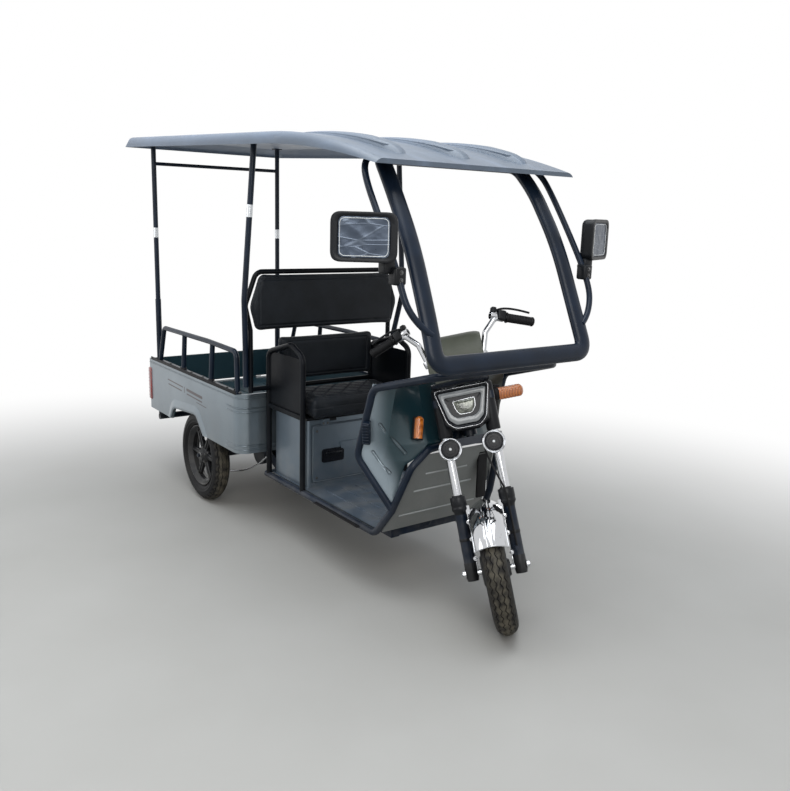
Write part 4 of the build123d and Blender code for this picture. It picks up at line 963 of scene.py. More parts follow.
# The pillar's points ahead of the axle: x, y, z and the reach of its bend there.
pillar = [
    (1.472, 0.318, 1.654, 0.05), (1.560, 0.334, 1.560, 0.115), (1.690, 0.340, 1.370, 0.13),
    (1.800, 0.344, 1.120, 0.12), (1.852, 0.350, 0.992, 0.055),
]
pillar_legs = [
    (
        Vector((after[0] - before[0], 0, after[2] - before[2])).normalized(),
        (before[2] + after[2]) / 2,
    )
    for before, after in zip(pillar, pillar[1:])
]


def hoop_out(height):
    """The way out of the hoop's bent plane at a height."""
    low = next((step for step, leg in enumerate(pillar_legs) if leg[1] < height), len(pillar_legs))
    slope, middle = pillar_legs[max(0, low - 1)]
    if 0 < low < len(pillar_legs):
        next_slope, next_middle = pillar_legs[low]
        share = (height - next_middle) / (middle - next_middle)
        slope = (next_slope * (1 - share) + slope * share).normalized()
    return Vector((-slope.z, 0, slope.x))


hoop_corners = [(x + axle_x, y, z) for x, y, z, bend in pillar]
hoop_corners += [(x, -y, z) for x, y, z in reversed(hoop_corners)]
hoop_bends = [bend for x, y, z, bend in pillar]
hoop_line = []
for spot, (corner, bend) in enumerate(zip(hoop_corners, hoop_bends + hoop_bends[::-1])):
    before, after = hoop_corners[spot - 1], hoop_corners[(spot + 1) % len(hoop_corners)]
    hoop_line += rounded([before, corner, after], bend, 10, closed=False)[1:-1]
flat_oval = [
    (0.0325 * cos(turn), 0.021 * sin(turn)) for turn in [pi * step / 14 for step in range(28)]
]
screen_form = bmesh.new()
swept(screen_form, [(point, hoop_out(point.z)) for point in hoop_line], flat_oval)
stay_points = [
    (1.488, 0.352, 1.662), (1.505, 0.412, 1.640), (1.545, 0.430, 1.575), (1.610, 0.431, 1.484),
    (1.680, 0.433, 1.380), (1.738, 0.434, 1.290), (1.776, 0.435, 1.216), (1.796, 0.424, 1.160),
    (1.818, 0.385, 1.112), (1.826, 0.352, 1.090),
]
for side in (-1, 1):
    rod(screen_form, [(x + axle_x, side * y, z) for x, y, z in stay_points], 0.0112, sides=12)
piece("windscreen_hoop", screen_form, frame_coat, "chassis", ["screen_frame"], 40)


# Headlamp: a glossy black bezel with a fine bright lip, a grey light guide round a black panel, and
# a small projector lens with a chrome outline. It clips into the nacelle's face.
def skinned(form, rings, closed=True, cap=False, place=Matrix()):
    """Add a skin through rows of points; a cap closes the last row."""
    part = bmesh.new()
    rows = [[part.verts.new(point) for point in ring] for ring in rings]
    for row, after in zip(rows, rows[1:]):
        for spot in range(len(row) if closed else len(row) - 1):
            following = (spot + 1) % len(row)
            part.faces.new((row[spot], row[following], after[following], after[spot]))
    if cap:
        part.faces.new(rows[-1])
    join(form, part, place)


lamp_outline = [
    (-0.097, 0.660), (0.097, 0.660), (0.070, 0.545), (0.043, 0.520), (-0.043, 0.520),
    (-0.070, 0.545),
]
lens_outline = [
    (-0.039, 0.615), (0.041, 0.618), (0.038, 0.586), (0.022, 0.566), (-0.020, 0.566),
    (-0.031, 0.582),
]


def lamp_rings(steps, outline=lamp_outline, middle=0.596, bend=0.009):
    """An outline drawn in by an inset at a depth x, for each step of (inset, x)."""
    width = max(y for y, z in outline)
    tall = max(z for y, z in outline) - middle
    return [
        rounded(
            [
                (x, y * (1 - inset / width), middle + (z - middle) * (1 - inset / tall))
                for y, z in outline
            ],
            bend, 6,
        )
        for inset, x in steps
    ]


form = bmesh.new()
bezel_steps = [
    (-0.004, 0.1380), (-0.0035, 0.1500), (-0.001, 0.1530), (0.004, 0.1520), (0.0075, 0.1480),
    (0.0085, 0.1460), (0.0100, 0.1455),
]
skinned(form, lamp_rings(bezel_steps), place=steering)
panel_steps = [(0.0285, 0.1490), (0.0300, 0.1464), (0.046, 0.1460)]
skinned(form, lamp_rings(panel_steps), cap=True, place=steering)
brow = [
    (0.060, -0.106, 0.676), (0.110, -0.105, 0.690), (0.150, -0.102, 0.684), (0.166, -0.100, 0.670),
    (0.156, -0.100, 0.664),
]
brow_rows = [
    [(x, y * scale, z + 0.004 * (1 - scale * scale)) for x, y, z in brow]
    for scale in [1 - 2 * step / 14 for step in range(15)]
]
skinned(form, brow_rows, closed=False, place=steering)
piece("headlamp_bezel", form, gloss_black, "steering", sharp=50)
form = bmesh.new()
guide_steps = [
    (0.0095, 0.1455), (0.0100, 0.1490), (0.0118, 0.1502), (0.0270, 0.1500), (0.0288, 0.1490),
    (0.0292, 0.1455),
]
skinned(form, lamp_rings(guide_steps), place=steering)
piece("headlamp_guide", form, clear_lens, "steering", ["headlamp_lens"], 50)
form = bmesh.new()
lens_trim = lamp_rings([(0.0, 0.1478)], lens_outline, 0.593, 0.007)[0]
rod(form, lens_trim, 0.0019, steering, closed=True, smooth=False)
lamp_trim = lamp_rings([(-0.0008, 0.1528)], bend=0.014)[0]
rod(form, lamp_trim, 0.0010, steering, closed=True, smooth=False)
piece("headlamp_trim", form, chrome, "steering", sharp=60)
projector = Finish("projector_glass", Coat_Weight=1.0, Coat_Roughness=0.02, Metallic=0.4)
projector.paint(
    Base_Color=projector.blend(
        projector.cloud(60, 3).between(0.35, 0.65), (0.018, 0.022, 0.016, 1), (0.15, 0.16, 0.13, 1)
    ),
    Roughness=projector.cloud(30, 2) * 0.12 + 0.06,
    Normal=projector.bump(projector.cloud(90, 2), 0.0015),
)
form = bmesh.new()
lens_steps = [(0.001, 0.1462), (0.004, 0.1490), (0.009, 0.1502), (0.015, 0.1508)]
skinned(form, lamp_rings(lens_steps, lens_outline, 0.593, 0.006), cap=True, place=steering)
piece("headlamp_projector", form, projector, "steering", sharp=60)


# Round lamps: two turned chrome rings round ringed black discs with a small white stud in the
# middle, on the steel cups that are clamped to the stanchions.
ring_profile = [
    (0.034, -0.036), (0.0385, -0.034), (0.0415, -0.012), (0.0425, -0.004), (0.0420, 0.0000),
    (0.0400, 0.0014), (0.0385, 0.0005), (0.0375, -0.0008), (0.0366, 0.0006), (0.0350, 0.0012),
    (0.0336, 0.0002), (0.0328, -0.0030),
]
disc_profile = [
    (0.0330, -0.0030), (0.0320, -0.0018), (0.0280, -0.0012), (0.0276, -0.0022), (0.0262, -0.0022),
    (0.0258, -0.0012), (0.0200, -0.0011), (0.0196, -0.0019), (0.0184, -0.0019), (0.0180, -0.0011),
    (0.0, -0.0010),
]
stud_profile = [(0.0050, -0.0012), (0.0048, 0.0012), (0.0034, 0.0024), (0.0, 0.0028)]
form, discs, studs = (bmesh.new() for made in range(3))
for side in (-1, 1):
    place = steering @ at(0.1032, side * 0.079, 0.452, "Y", pi / 2)
    turned(form, ring_profile, place, 56)
    turned(discs, disc_profile, place, 56)
    turned(studs, stud_profile, place, 20)
piece("round_lamp_rings", form, chrome, "steering", sharp=50)
piece("round_lamp_discs", discs, gloss_black, "steering", sharp=50)
white_stud = coated("white_stud", (0.78, 0.80, 0.80), 0.05, 0.3, 200, 0.0)
piece("round_lamp_studs", studs, white_stud, "steering")


# Turn signals: ribbed amber lenses with rounded ends in black rubber on the leg shield. The left
# one stands out and ahead on a collar and a stalk, and the right one is upright on a pad.
def capsule(length, width, height, ribs=8):
    """Rings of a ribbed round-ended lens along local Z, from its foot at 0."""
    rings = []
    for share in [step / (ribs * 4) for step in range(ribs * 4 + 1)]:
        ribbed = 1 - 0.03 * (1 - abs(cos(pi * ribs * share)))
        size = ribbed * min(1, sqrt(max(0.02, 1 - max(0, (share - 0.82) / 0.18) ** 2)))
        rings.append(
            [
                (
                    width / 2 * size * copysign(abs(cos(turn)) ** 0.7, cos(turn)),
                    height / 2 * size * copysign(abs(sin(turn)) ** 0.7, sin(turn)),
                    share * length,
                )
                for turn in [2 * pi * (spot + 0.5) / 32 for spot in range(32)]
            ]
        )
    return rings


signal_lean = radians(12)
left_signal = aimed((1.573 + axle_x, 0.194, 0.796), (0.46, 0.87, 0.19))
right_signal = at(1.5515 + axle_x, -0.196, 0.664, "Y", -signal_lean)
right_signal = right_signal @ at(0.010, 0.012, 0, "X", -signal_lean)
form = bmesh.new()
skinned(form, capsule(0.100, 0.048, 0.040), cap=True, place=left_signal)
skinned(form, capsule(0.082, 0.030, 0.030), cap=True, place=right_signal)
piece("turn_signal_lenses", form, amber, "chassis", ["turn_signals"], 60)
form = bmesh.new()
collar = [
    (0.0, -0.018), (0.021, -0.018), (0.0245, -0.014), (0.0245, -0.002), (0.0220, 0.001),
    (0.0, 0.001),
]
turned(form, collar, left_signal @ Matrix.Diagonal((1, 0.8, 1, 1)), 32)
block(form, (-0.018, 0, 0.038), (0.014, 0.026, 0.086), 0.004, right_signal)
block(form, (-0.004, 0, -0.002), (0.034, 0.030, 0.008), 0.003, right_signal)
block(form, (1.556 + axle_x, 0.194, 0.770), (0.016, 0.030, 0.120), 0.004)
piece("turn_signal_collars", form, soft_rubber, "chassis")


# Mirrors: each glass under its creased protective film, whose white edge shows inside the broad
# lip of its black housing. Two plastic blocks with two bolts clamp the housing to the stay.
glass_half, glass_corner, film_half, rows, columns = (0.0790, 0.0615), 0.017, (0.075, 0.057), 30, 40
lip_steps = [
    (0.1030, 0.0755, -0.010), (0.1040, 0.0765, -0.002), (0.1030, 0.0755, 0.0032),
    (0.0990, 0.0715, 0.0042), (0.0830, 0.0655, 0.0026), (0.0790, 0.0615, -0.0030),
]


def frame_loop(w, h, z, radius, steps):
    """The rounded outline of a rectangle, given by its halves."""
    return rounded([(w, -h, z), (w, h, z), (-w, h, z), (-w, -h, z)], radius, steps)


glass_form, lip_form, clamp_steel, film_edges = (bmesh.new() for made in range(4))
for side, turn in ((-1, radians(37)), (1, radians(24))):
    axes = ((-side * sin(turn), cos(turn), 0), (0, 0, 1), (cos(turn), side * sin(turn), 0))
    place = at(1.716 + axle_x, side * 0.545, 1.390) @ Matrix(axes).transposed().to_4x4()
    grid = []
    for row in range(rows + 1):
        line = []
        for column in range(columns + 1):
            spot = Vector((column / columns * 2 - 1, row / rows * 2 - 1)) * Vector(glass_half)
            core = Vector(
                max(-half + glass_corner, min(half - glass_corner, part))
                for part, half in zip(spot, glass_half)
            )
            if (spot - core).length > glass_corner:
                spot = core + (spot - core).normalized() * glass_corner
            x, y = spot
            wrinkle = noise.ridged_multi_fractal(
                Vector((x * 13 + side, y * 17, side * 3)), 1.0, 2.0, 3, 1.0, 2.0
            )
            line.append((x, y, -0.0012 + 0.0016 * (wrinkle - 1.0)))
        grid.append(line)
    skinned(glass_form, grid, closed=False, place=place)
    lip = [frame_loop(w, h, z, 0.034 if w > 0.09 else 0.022, 8) for w, h, z in lip_steps]
    skinned(lip_form, lip, place=place)
    fringe = frame_loop(*film_half, 0.0008, 0.018, 6)
    rod(film_edges, fringe, 0.0011, place, closed=True, smooth=False)
    block(lip_form, (1.746 + axle_x, side * 0.436, 1.272), (0.042, 0.044, 0.056), 0.007)
    block(lip_form, (1.724 + axle_x, side * 0.462, 1.300), (0.040, 0.044, 0.044), 0.008)
    for height in (1.260, 1.284):
        bolt(clamp_steel, at(1.767 + axle_x, side * 0.436, height, "Y", pi / 2), 0.005)
piece("mirror_films", glass_form, mirror_film, "chassis", ["mirror_glasses"], 30)
piece("mirror_film_edges", film_edges, white_stud, "chassis", sharp=60)
piece("mirror_lips", lip_form, black_plastic, "chassis", sharp=45)
piece("mirror_clamp_bolts", clamp_steel, drum_steel, "chassis")


# Front mudguard: chromed blade with a bead rolled over its edges and a raised middle rib, held by
# bright straps that are bolted to the sliders.
guard_turns = [radians(26 + 128 * step / 40) for step in range(41)]
guard_crown = ((-0.014, -0.0012), (-0.009, 0.0026), (0.009, 0.0026), (0.014, -0.0012))


def round_axle(reach, out, turn):
    """A point in the steering's frame, by its reach and angle about the spindle."""
    return (axle_lead + reach * cos(turn), out, reach * sin(turn))


form = bmesh.new()
for out in (0.0578, -0.0578):
    rod(form, [round_axle(0.2150, out, turn) for turn in guard_turns], 0.0032, steering)
for turn in (guard_turns[0], guard_turns[-1]):
    outs = [0.058 * (step / 8 - 1) for step in range(17)]
    lip = [round_axle(0.250 - 0.036 * (out / 0.058) ** 2, out, turn) for out in outs]
    rod(form, lip, 0.0030, steering)
crown = [
    [round_axle(0.2512 + rise, out, turn) for out, rise in guard_crown] for turn in guard_turns
]
skinned(form, crown, closed=False, place=steering)
strap_x, strap_y = axle_lead + 0.004, 0.0643
for side in (-1, 1):
    block(form, (strap_x, side * strap_y, 0.112), (0.016, 0.0030, 0.200), 0.001, steering)
    block(form, (strap_x, side * strap_y, 0.022), (0.024, 0.0034, 0.034), 0.001, steering)
    for height in (0.052, 0.122, 0.184):
        bolt(form, steering @ at(axle_lead + 0.018, side * 0.0655, height, "Y", pi / 2), 0.005)
        lug = (axle_lead + 0.010, side * 0.0655, height)
        block(form, lug, (0.016, 0.010, 0.014), 0.002, steering)
piece("mudguard_trim", form, chrome, "steering", sharp=50)


# Fork fittings: rubber wipers over wide black collars, shrouds under the upper yoke, a casting step
# on each slider, pinch bolts, and domed nuts with washers on the spindle's ends.
leg_profiles = (
    [
        (0.0170, 0.284), (0.0200, 0.283), (0.0210, 0.279), (0.0280, 0.278), (0.0292, 0.276),
        (0.0292, 0.248), (0.0282, 0.246), (0.0282, 0.240), (0.0292, 0.238), (0.0290, 0.232),
        (0.0232, 0.222), (0.0222, 0.214),
    ],
    [(0.0219, 0.128), (0.0230, 0.126), (0.0230, 0.118), (0.0219, 0.116)],
    [(0.0219, 0.040), (0.0232, 0.036), (0.0232, -0.010), (0.0205, -0.0265)],
    [
        (0.0170, 0.494), (0.0240, 0.494), (0.0255, 0.498), (0.0255, 0.600), (0.0255, 0.664),
        (0.0225, 0.672), (0.0170, 0.674),
    ],
)
yoke_ring = [(0.0168, 0.0150), (0.0235, 0.0150), (0.0240, 0.0172), (0.0168, 0.0176)]
domed_nut = [(0.0, 0.007), (0.004, 0.0065), (0.0065, 0.004), (0.0075, 0.000), (0.0075, -0.006)]
nut_washer = [(0.0105, -0.008), (0.0165, -0.008), (0.0168, -0.0056), (0.0105, -0.005)]
stem_ring = [(0.012, 0.636), (0.026, 0.636), (0.027, 0.640), (0.024, 0.646), (0.012, 0.647)]
form, bright = bmesh.new(), bmesh.new()
for side in (-1, 1):
    leg = steering @ at(axle_lead, side * 0.088, 0)
    for profile in leg_profiles:
        turned(form, profile, leg, 40)
    for height in (0.470, 0.622):
        turned(bright, yoke_ring, leg @ at(0, 0, height), 36)
    bolt(bright, steering @ at(axle_lead + 0.027, side * 0.106, 0.470, "Y", pi / 2), 0.0055)
    end = steering @ at(axle_lead, side * 0.118, 0, "X", -side * pi / 2)
    turned(bright, domed_nut, end, 32)
    turned(bright, nut_washer, end, 32)
turned(bright, stem_ring, steering, 36)
piece("fork_collars", form, black_plastic, "steering", sharp=50)
piece("fork_hardware", bright, chrome, "steering", sharp=50)


# Handlebar: ribbed rubber grips with flanged ends, black switch pods, curved levers on their
# perches, and bright clamp barrels on the risers. Screwed round the chromed bar.
grip_profile = [(0.0112, 0.0), (0.0190, 0.0), (0.0205, 0.002), (0.0205, 0.005), (0.0170, 0.008)]
for foot in [0.010 + rib * 0.0066 for rib in range(14)]:
    grip_profile += [
        (0.0158, foot), (0.0174, foot + 0.0015), (0.0174, foot + 0.0036), (0.0158, foot + 0.0051)
    ]
grip_profile += [(0.0165, 0.104), (0.0182, 0.106), (0.0182, 0.111), (0.0150, 0.1145), (0.0, 0.115)]
lever = [
    (0.018, 0.0, -0.048), (0.030, 0.0, -0.030), (0.038, 0.0, 0.000), (0.038, 0.0, 0.050),
    (0.033, 0.0, 0.096),
]
perch_profile = [
    (0.0112, -0.064), (0.0150, -0.064), (0.0155, -0.062), (0.0155, -0.042), (0.0150, -0.040),
    (0.0112, -0.040),
]
barrel_half = [(0.0112, -0.012), (0.0168, -0.012), (0.0176, -0.010)]
barrel_profile = barrel_half + [(radius, -height) for radius, height in reversed(barrel_half)]
form, pods, bright = (bmesh.new() for made in range(3))
for side in (-1, 1):
    grip_start = Vector((-0.070, side * 0.215, 0.905))
    place = steering @ aimed(grip_start, Vector((-0.110, side * 0.312, 0.875)) - grip_start)
    turned(form, grip_profile, place, 32)
    block(pods, (0.004, 0.0, -0.020), (0.040, 0.036, 0.036), 0.008, place, segments=3)
    block(pods, (0.022, 0.0, -0.052), (0.022, 0.024, 0.020), 0.005, place)
    rod(pods, lever, 0.0042, place, sides=10)
    turned(bright, perch_profile, place, 32)
    riser = Vector((-0.034, side * 0.104, 0.782))
    clamp = steering @ aimed(riser, Vector((-0.042, side * 0.128, 0.862)) - riser)
    turned(bright, barrel_profile, clamp, 36)
    block(bright, (0.021, 0, 0), (0.014, 0.016, 0.020), 0.003, clamp)
    bolt(bright, clamp @ at(0.021, 0.009, 0, "X", -pi / 2), 0.0045)
piece("handlebar_rubber", form, soft_rubber, "steering", ["handlebar_grips"], 50)
piece("handlebar_pods", pods, black_plastic, "steering", sharp=50)
piece("handlebar_clamps", bright, chrome, "steering", sharp=50)


# Instrument binnacle: an olive-grey moulded hood with a round dial for speed and a tell-tale on
# each side, screwed over the top of the panel behind the headlamp.
hood_half, hood_middle = 0.106, 0.80
hood = [
    (-0.034, 0.776), (-0.044, 0.858), (-0.034, 0.872), (-0.010, 0.872), (0.028, 0.852),
    (0.052, 0.792), (0.060, 0.720),
]


def hood_ring(out, shrink):
    return [(x * shrink, out, hood_middle + (z - hood_middle) * shrink) for x, z in hood]


form = bmesh.new()
hood_outs = [-hood_half + 2 * hood_half * step / 20 for step in range(21)]
hood_rings = [hood_ring(out, 1 - 0.12 * (abs(out) / hood_half) ** 8) for out in hood_outs]
skinned(form, hood_rings, closed=False, place=steering)
for end in (-hood_half, hood_half):
    skinned(form, [hood_ring(end, 0.88)], closed=False, cap=True, place=steering)
piece("binnacle_hood", form, dash_plastic, "steering", sharp=50)
dial_face = Finish("dial_face", Coat_Weight=1.0, Coat_Roughness=0.03)
dial_spokes = dial_face.node(
    "ShaderNodeTexGradient", {"gradient_type": "RADIAL"},
    {"Vector": dial_face.node("ShaderNodeUVMap", {"uv_map": "dial"})}, "Fac",
)
dial_marks = (dial_spokes * 24).maths("FRACT").between(0.86, 0.92)
dial_face.paint(
    Base_Color=dial_face.blend(
        dial_marks * dial_face.cloud(80, 2).between(0.1, 0.4),
        (0.012, 0.013, 0.015, 1), (0.62, 0.64, 0.62, 1),
    ),
    Roughness=dial_face.cloud(40, 2) * 0.1 + 0.2,
)
dial_place = steering @ at(-0.0400, 0, 0.822, "Y", radians(-83))
form = bmesh.new()
turned(form, [(0.0, 0.0060), (0.036, 0.0060), (0.038, 0.0040)], dial_place, 48)
dial_uv = form.loops.layers.uv.new("dial")
dial_back = dial_place.inverted()
for face in form.faces:
    for corner in face.loops:
        corner[dial_uv].uv = (dial_back @ corner.vert.co).xy
piece("binnacle_dial", form, dial_face, "steering", sharp=50)
form = bmesh.new()
dial_rim = [
    (0.038, -0.004), (0.044, -0.004), (0.045, 0.004), (0.0425, 0.0085), (0.039, 0.0080),
    (0.037, 0.0050),
]
telltale = [(0.010, -0.002), (0.0125, 0.001), (0.0120, 0.005), (0.0085, 0.006), (0.0, 0.0045)]
turned(form, dial_rim, dial_place, 48)
for out in (-0.066, 0.066):
    turned(form, telltale, dial_place @ at(0, out, 0), 24)
piece("binnacle_rims", form, black_plastic, "steering", sharp=50)


# Apron and floor fittings: two embossed beads and a turned skirt line on the apron, painted lighter
# than the apron as painted highlights, a flat black blade beside it, and ribbed rubber treads on
# the floor's edge tubes.
def spaced(start, end, steps=12):
    """Points in even steps from one to another."""
    return [Vector(start).lerp(Vector(end), step / steps) for step in range(steps + 1)]


form = bmesh.new()
for start, end, radius in (
    ((0.8635, -0.121, 0.514), (0.8640, 0.083, 0.515), 0.0034),
    ((0.8345, -0.153, 0.441), (0.8350, 0.134, 0.442), 0.0040),
    ((0.796, -0.190, 0.338), (0.796, 0.190, 0.338), 0.0030),
):
    rod(form, spaced(start, end, 4), radius, sides=10)
# Painted highlight: the beads are a lighter grey than the apron they are embossed in.
bead_highlight_paint = coated("bead_highlight_paint", (0.40, 0.42, 0.42), 0.1, 0.34, 300, 0.00005)
piece("apron_beads", form, bead_highlight_paint, "chassis")
form = bmesh.new()
block(form, (0.874, 0.154, 0.478), (0.010, 0.046, 0.205), 0.003)
block(form, (0.866, 0.149, 0.566), (0.034, 0.040, 0.016), 0.003)
for tread_y in (-0.2845, 0.2845):
    for rib in range(27):
        centre = (0.360 + rib * 0.012, tread_y, 0.2795)
        block(form, centre, (0.0055, 0.034, 0.0050), 0.0015, segments=1)
    block(form, (0.516, tread_y, 0.2765), (0.330, 0.040, 0.004), 0.0015)
piece("floor_treads", form, soft_rubber, "chassis")


# Seat box fittings: a handle of glossy black plastic, a stepped plate with a finger bar, fixed to
# the box's front, and small steel screws for the seat's hinges and the box's corners.
handle_y, handle_z = -0.124, 0.425
form = bmesh.new()
for w, h, low, high in ((0.056, 0.030, 0.0, 0.005), (0.052, 0.026, 0.004, 0.0075)):
    outline = rounded([(0, -w, -h), (0, w, -h), (0, w, h), (0, -w, h)], 0.012, 5)
    rings = [[point + Vector((x, 0, 0)) for point in outline] for x in (low, high)]
    skinned(form, rings, cap=True, place=at(box_front, handle_y, handle_z))
block(form, (0.2225, handle_y, 0.437), (0.010, 0.084, 0.010), 0.003)
piece("seat_box_handle", form, gloss_black, "chassis", sharp=50)
form = bmesh.new()
for side in (-1, 1):
    for out in (0.156, 0.178):
        bolt(form, at(0.2215, side * out, 0.574, "Y", pi / 2), 0.0035, 0.003)
    for height in (0.330, 0.540):
        bolt(form, at(0.2135, side * 0.205, height, "Y", pi / 2), 0.0038, 0.003)
piece("seat_box_screws", form, drum_steel, "chassis")


# Pressed beads: the rolled line under the bed's top, two pairs of lines round its front corners,
# the border on the seat box and the folds down the leg shield, raised from their panels.
def settled(name, points):
    """Points moved to the nearest spots on a CAD part's surface."""
    node = frame["nodes"][name]
    back = node.matrix_world.inverted()
    return [node.matrix_world @ node.closest_point_on_mesh(back @ point)[1] for point in points]


bead_runs = [(bed_crease_z, -1.236, 0.0, 0.0026)] + [
    (height, tail, 0.27, radius)
    for height, (tail, radius) in zip(bed_press_z, ((-0.262, 0.0022), (-0.268, 0.0030)) * 2)
]
bend_turns = [pi / 2 * step / 12 for step in range(1, 12)]
form = bmesh.new()
for side in (-1, 1):
    for height, tail, inner, radius in bead_runs:
        line = spaced((tail, side * bed_side, height), (-0.192, side * bed_side, height), 24)
        line += [
            Vector(
                (
                    corner_x + corner_radius * sin(turn),
                    side * (corner_y + corner_radius * cos(turn)), height,
                )
            )
            for turn in bend_turns
        ]
        line += spaced((bed_front, side * 0.343, height), (bed_front, side * inner, height), 8)
        rod(form, line, radius, smooth=False)
piece("bed_beads", form, bed_paint, "bed", sharp=60)
form = bmesh.new()
border = rounded([(x, copysign(0.226, y), z) for x, y, z in box_corners], 0.020, 6)
rod(form, border, 0.0030, closed=True, smooth=False)
piece("seat_box_border", form, box_paint, "chassis", sharp=60)
form = bmesh.new()
for (start, end, half), radius in zip(shield_folds, (0.0034, 0.0040) * 2):
    rod(form, settled("leg_shield", spaced(start, end)), radius, smooth=False)
piece("leg_shield_folds", form, shield_paint, "chassis", sharp=60)


# Bed trim: flared lips rolled round the wheel arches, a rubber welt along the top, bolts through
# the rails' foot strips, and collars at the rails' joints.
arch = [(-0.268, 0.376), (-0.222, 0.442), (0.066, 0.464), (0.152, 0.376)]
arch_line = rounded([(x + axle_x, 0, z) for x, z in arch], 0.026, 8, closed=False)
flare = (
    (0.0000, 0.4080), (-0.001, 0.4140), (0.004, 0.4172), (0.014, 0.4165), (0.034, 0.4120),
    (0.046, 0.4092),
)
arch_ends = {0: Vector((-1, 0, 0)), len(arch_line) - 1: Vector((1, 0, 0))}
rail_y, rail_foot_z, rail_joints = 0.397, 0.664, (-0.771, -0.435, -1.103, -0.160)
rail_collar = [(0.0118, 0.0), (0.0165, 0.0), (0.0158, 0.004), (0.0122, 0.010)]
form, welt, steel = (bmesh.new() for made in range(3))
for side in (-1, 1):
    arch_rows = []
    for spot, point in enumerate(arch_line):
        run = arch_line[min(len(arch_line) - 1, spot + 1)] - arch_line[max(0, spot - 1)]
        away = arch_ends.get(spot, Vector((-run.z, 0, run.x)).normalized())
        arch_rows.append(
            [
                (point.x + away.x * out, side * y, max(0.378, point.z + away.z * out))
                for out, y in flare
            ]
        )
    skinned(form, arch_rows, closed=False)
    block(welt, (-0.683, side * 0.4085, 0.659), (1.055, 0.007, 0.016), 0.002)
    for step in range(8):
        bolt(steel, at(-1.10 + step * 0.138, side * rail_y, rail_foot_z), 0.0055, 0.004)
    for x in rail_joints:
        turned(welt, rail_collar, at(x - 0.011, side * rail_y, rail_foot_z), 28)
piece("bed_arch_lips", form, bed_paint, "bed", sharp=60)
piece("bed_welts", welt, soft_rubber, "bed")
piece("bed_rail_bolts", steel, drum_steel, "bed")


# Roof ribs: moulded caps that swell over the three ribs and run out in a round nose, of the roof's
# own plastic. The roof runs on straight behind the arc of its front.
arc_start, arc_middle_x, arc_middle_z, arc_radius = 0.234, 0.116, -1.134, 2.896
form = bmesh.new()
for middle in (-0.285, 0, 0.285):
    rib_rows = []
    for share in [step / 40 for step in range(41)]:
        x = 0.08 + 0.80 * share
        crest = arc_middle_z + sqrt(arc_radius**2 - (max(x, arc_start) - arc_middle_x) ** 2)
        crest -= min(0, x - arc_start) * 0.0408
        nose = sqrt(max(0.0, 1 - max(0, (share - 0.88) / 0.12) ** 2))
        half = 0.040 * (0.72 + 0.28 * min(1, share / 0.3)) * (0.35 + 0.65 * nose)
        swell = 0.0270 * min(1, share / 0.75) * nose
        rib_rows.append(
            [
                (x, middle + half * across, crest - 0.0015 + swell * (1 - abs(across) ** 3.2))
                for across in [spot / 8 - 1 for spot in range(17)]
            ]
        )
    skinned(form, rib_rows, closed=False)
piece("roof_rib_caps", form, roof_plastic, "chassis", sharp=70)


# Tail fittings: chromed rims round the tail lamps, ribbed red lenses wrapped round the bed's tail
# corners, latch handles on the tailgate, and a blank plate with a pressed rim and two bolts.
def tail_loop(x, y, z, w, h, radius):
    """The rounded outline of a rectangle that faces back, given by its halves."""
    low, high = z - h, z + h
    return rounded([(x, y - w, low), (x, y + w, low), (x, y + w, high), (x, y - w, high)], radius)


lamp_z, latch_z, plate_z, wrap_x = 0.514, 0.628, 0.560, -1.2320
latch_knob = [(0.0, 0.010), (0.010, 0.010), (0.012, 0.007), (0.012, 0.0)]
form, rims, wraps, plate = (bmesh.new() for made in range(4))
block(plate, (-1.2455, 0, plate_z), (0.006, 0.240, 0.086), 0.002)
plate_edge = tail_loop(-1.2483, 0, plate_z, 0.116, 0.039, 0.012)
rod(plate, plate_edge, 0.0020, closed=True, smooth=False)
for side in (-1, 1):
    rim = tail_loop(-1.2540, side * 0.385, lamp_z, 0.017, 0.092, 0.017)
    rod(rims, rim, 0.0022, closed=True, smooth=False)
    block(form, (-1.2560, side * 0.316, latch_z), (0.010, 0.064, 0.012), 0.004)
    turned(form, latch_knob, at(-1.2490, side * 0.292, latch_z, "Y", -pi / 2), 24)
    block(wraps, (wrap_x, side * 0.4080, lamp_z), (0.036, 0.014, 0.178), 0.006, segments=3)
    for rib in range(8):
        centre = (wrap_x, side * 0.4148, 0.4475 + rib * 0.019)
        block(wraps, centre, (0.026, 0.003, 0.005), 0.0012, segments=1)
    bolt(plate, at(-1.2480, side * 0.085, 0.586, "Y", -pi / 2), 0.0042, 0.003)
piece("tail_lamp_rims", rims, chrome, "bed", sharp=50)
piece("tail_lamp_wraps", wraps, red, "bed")
piece("tailgate_latches", form, chrome, "tailgate", sharp=50)
piece("tailgate_plate", plate, white_stud, "tailgate", sharp=50)


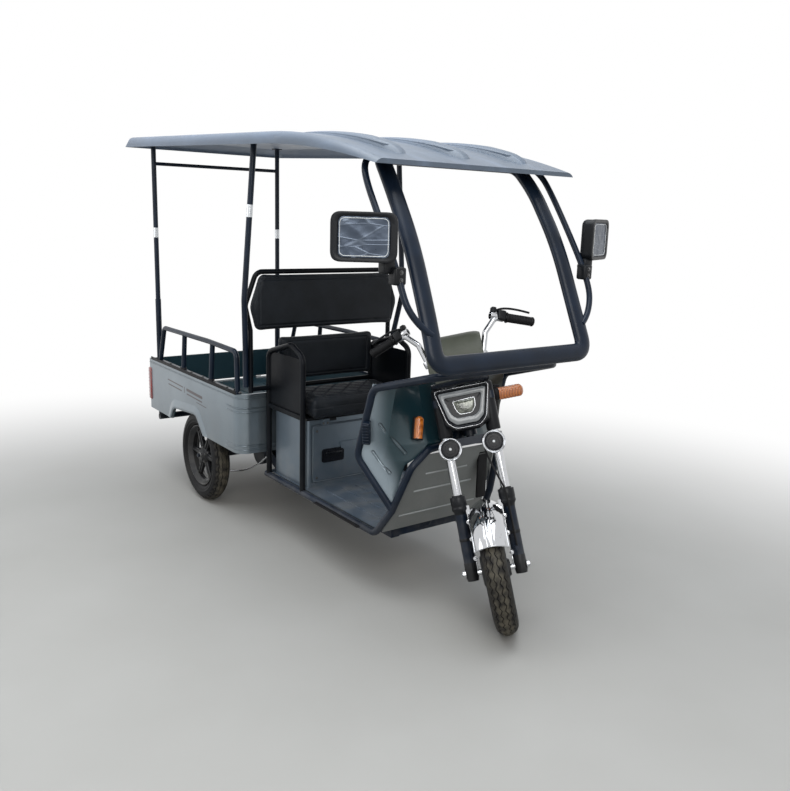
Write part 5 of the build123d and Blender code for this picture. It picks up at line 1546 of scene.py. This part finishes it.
# Guard and cab fittings: a ribbed plate on the guard's right tube, flanges round the rear posts'
# feet, and blank reflective bands round all four posts.
plate_top, plate_foot = Vector((0.772, -0.332, 0.722)), Vector((0.758, -0.318, 0.640))
plate_place = aimed((plate_top + plate_foot) / 2, (plate_top - plate_foot).normalized(), "Y")
post_x, post_y = -1.20135, 0.364
post_flange = [
    (0.0126, 0.0), (0.030, 0.0), (0.031, 0.003), (0.029, 0.005), (0.0150, 0.006), (0.0126, 0.012)
]
band_profile = [(0.0126, -0.026), (0.0133, -0.0252), (0.0133, 0.0252), (0.0126, 0.026)]
form, bands = bmesh.new(), bmesh.new()
block(form, (0.0, -0.004, 0), (0.030, 0.034, 0.088), 0.004, plate_place)
for rib in range(7):
    centre = (0.0, -0.022, -0.036 + rib * 0.012)
    block(form, centre, (0.026, 0.006, 0.006), 0.002, plate_place, segments=1)
for side in (-1, 1):
    turned(form, post_flange, at(post_x, side * post_y, 0.372), 32)
    for band_middle, band_run in (
        ((post_x, side * post_y, 1.335), (0, 0, 1)),
        ((-0.03405, side * 0.3926, 1.460), (0.0060, side * -0.0500, 0.6746)),
    ):
        turned(bands, band_profile, aimed(band_middle, band_run), 32)
piece("cab_brackets", form, frame_coat, "chassis", sharp=50)
reflective = coated(
    "reflective_band", (0.62, 0.64, 0.66), 0.08, 0.22, 400, 0.0001, Metallic=0.5, Coat_Weight=1.0
)
piece("post_bands", bands, reflective, "chassis")


# Running gear fittings: brake back plates behind the rear drums, each with its lever block, and a
# bent brake rod that is hooked to it and runs ahead under the frame.
back_plate = [
    (0.030, 0.0), (0.076, 0.0), (0.080, 0.003), (0.080, 0.010), (0.074, 0.014), (0.030, 0.014)
]
# From the axle's middle: x, y and z.
brake_run = (
    (0.062, 0.277, -0.062), (0.130, 0.262, -0.070), (0.250, 0.225, -0.040), (0.330, 0.205, 0.010),
    (0.400, 0.190, 0.070),
)
form, bright = bmesh.new(), bmesh.new()
for side in (-1, 1):
    turned(form, back_plate, at(axle_x, side * 0.292, wheel_height, "X", -side * pi / 2), 48)
    lever_block = (axle_x + 0.060, side * 0.284, wheel_height - 0.035)
    block(form, lever_block, (0.026, 0.012, 0.060), 0.004)
    rod(bright, [(axle_x + x, side * y, wheel_height + z) for x, y, z in brake_run], 0.0042)
piece("brake_plates", form, drum_steel, "chassis", sharp=50)
piece("brake_rods", bright, chrome, "chassis")
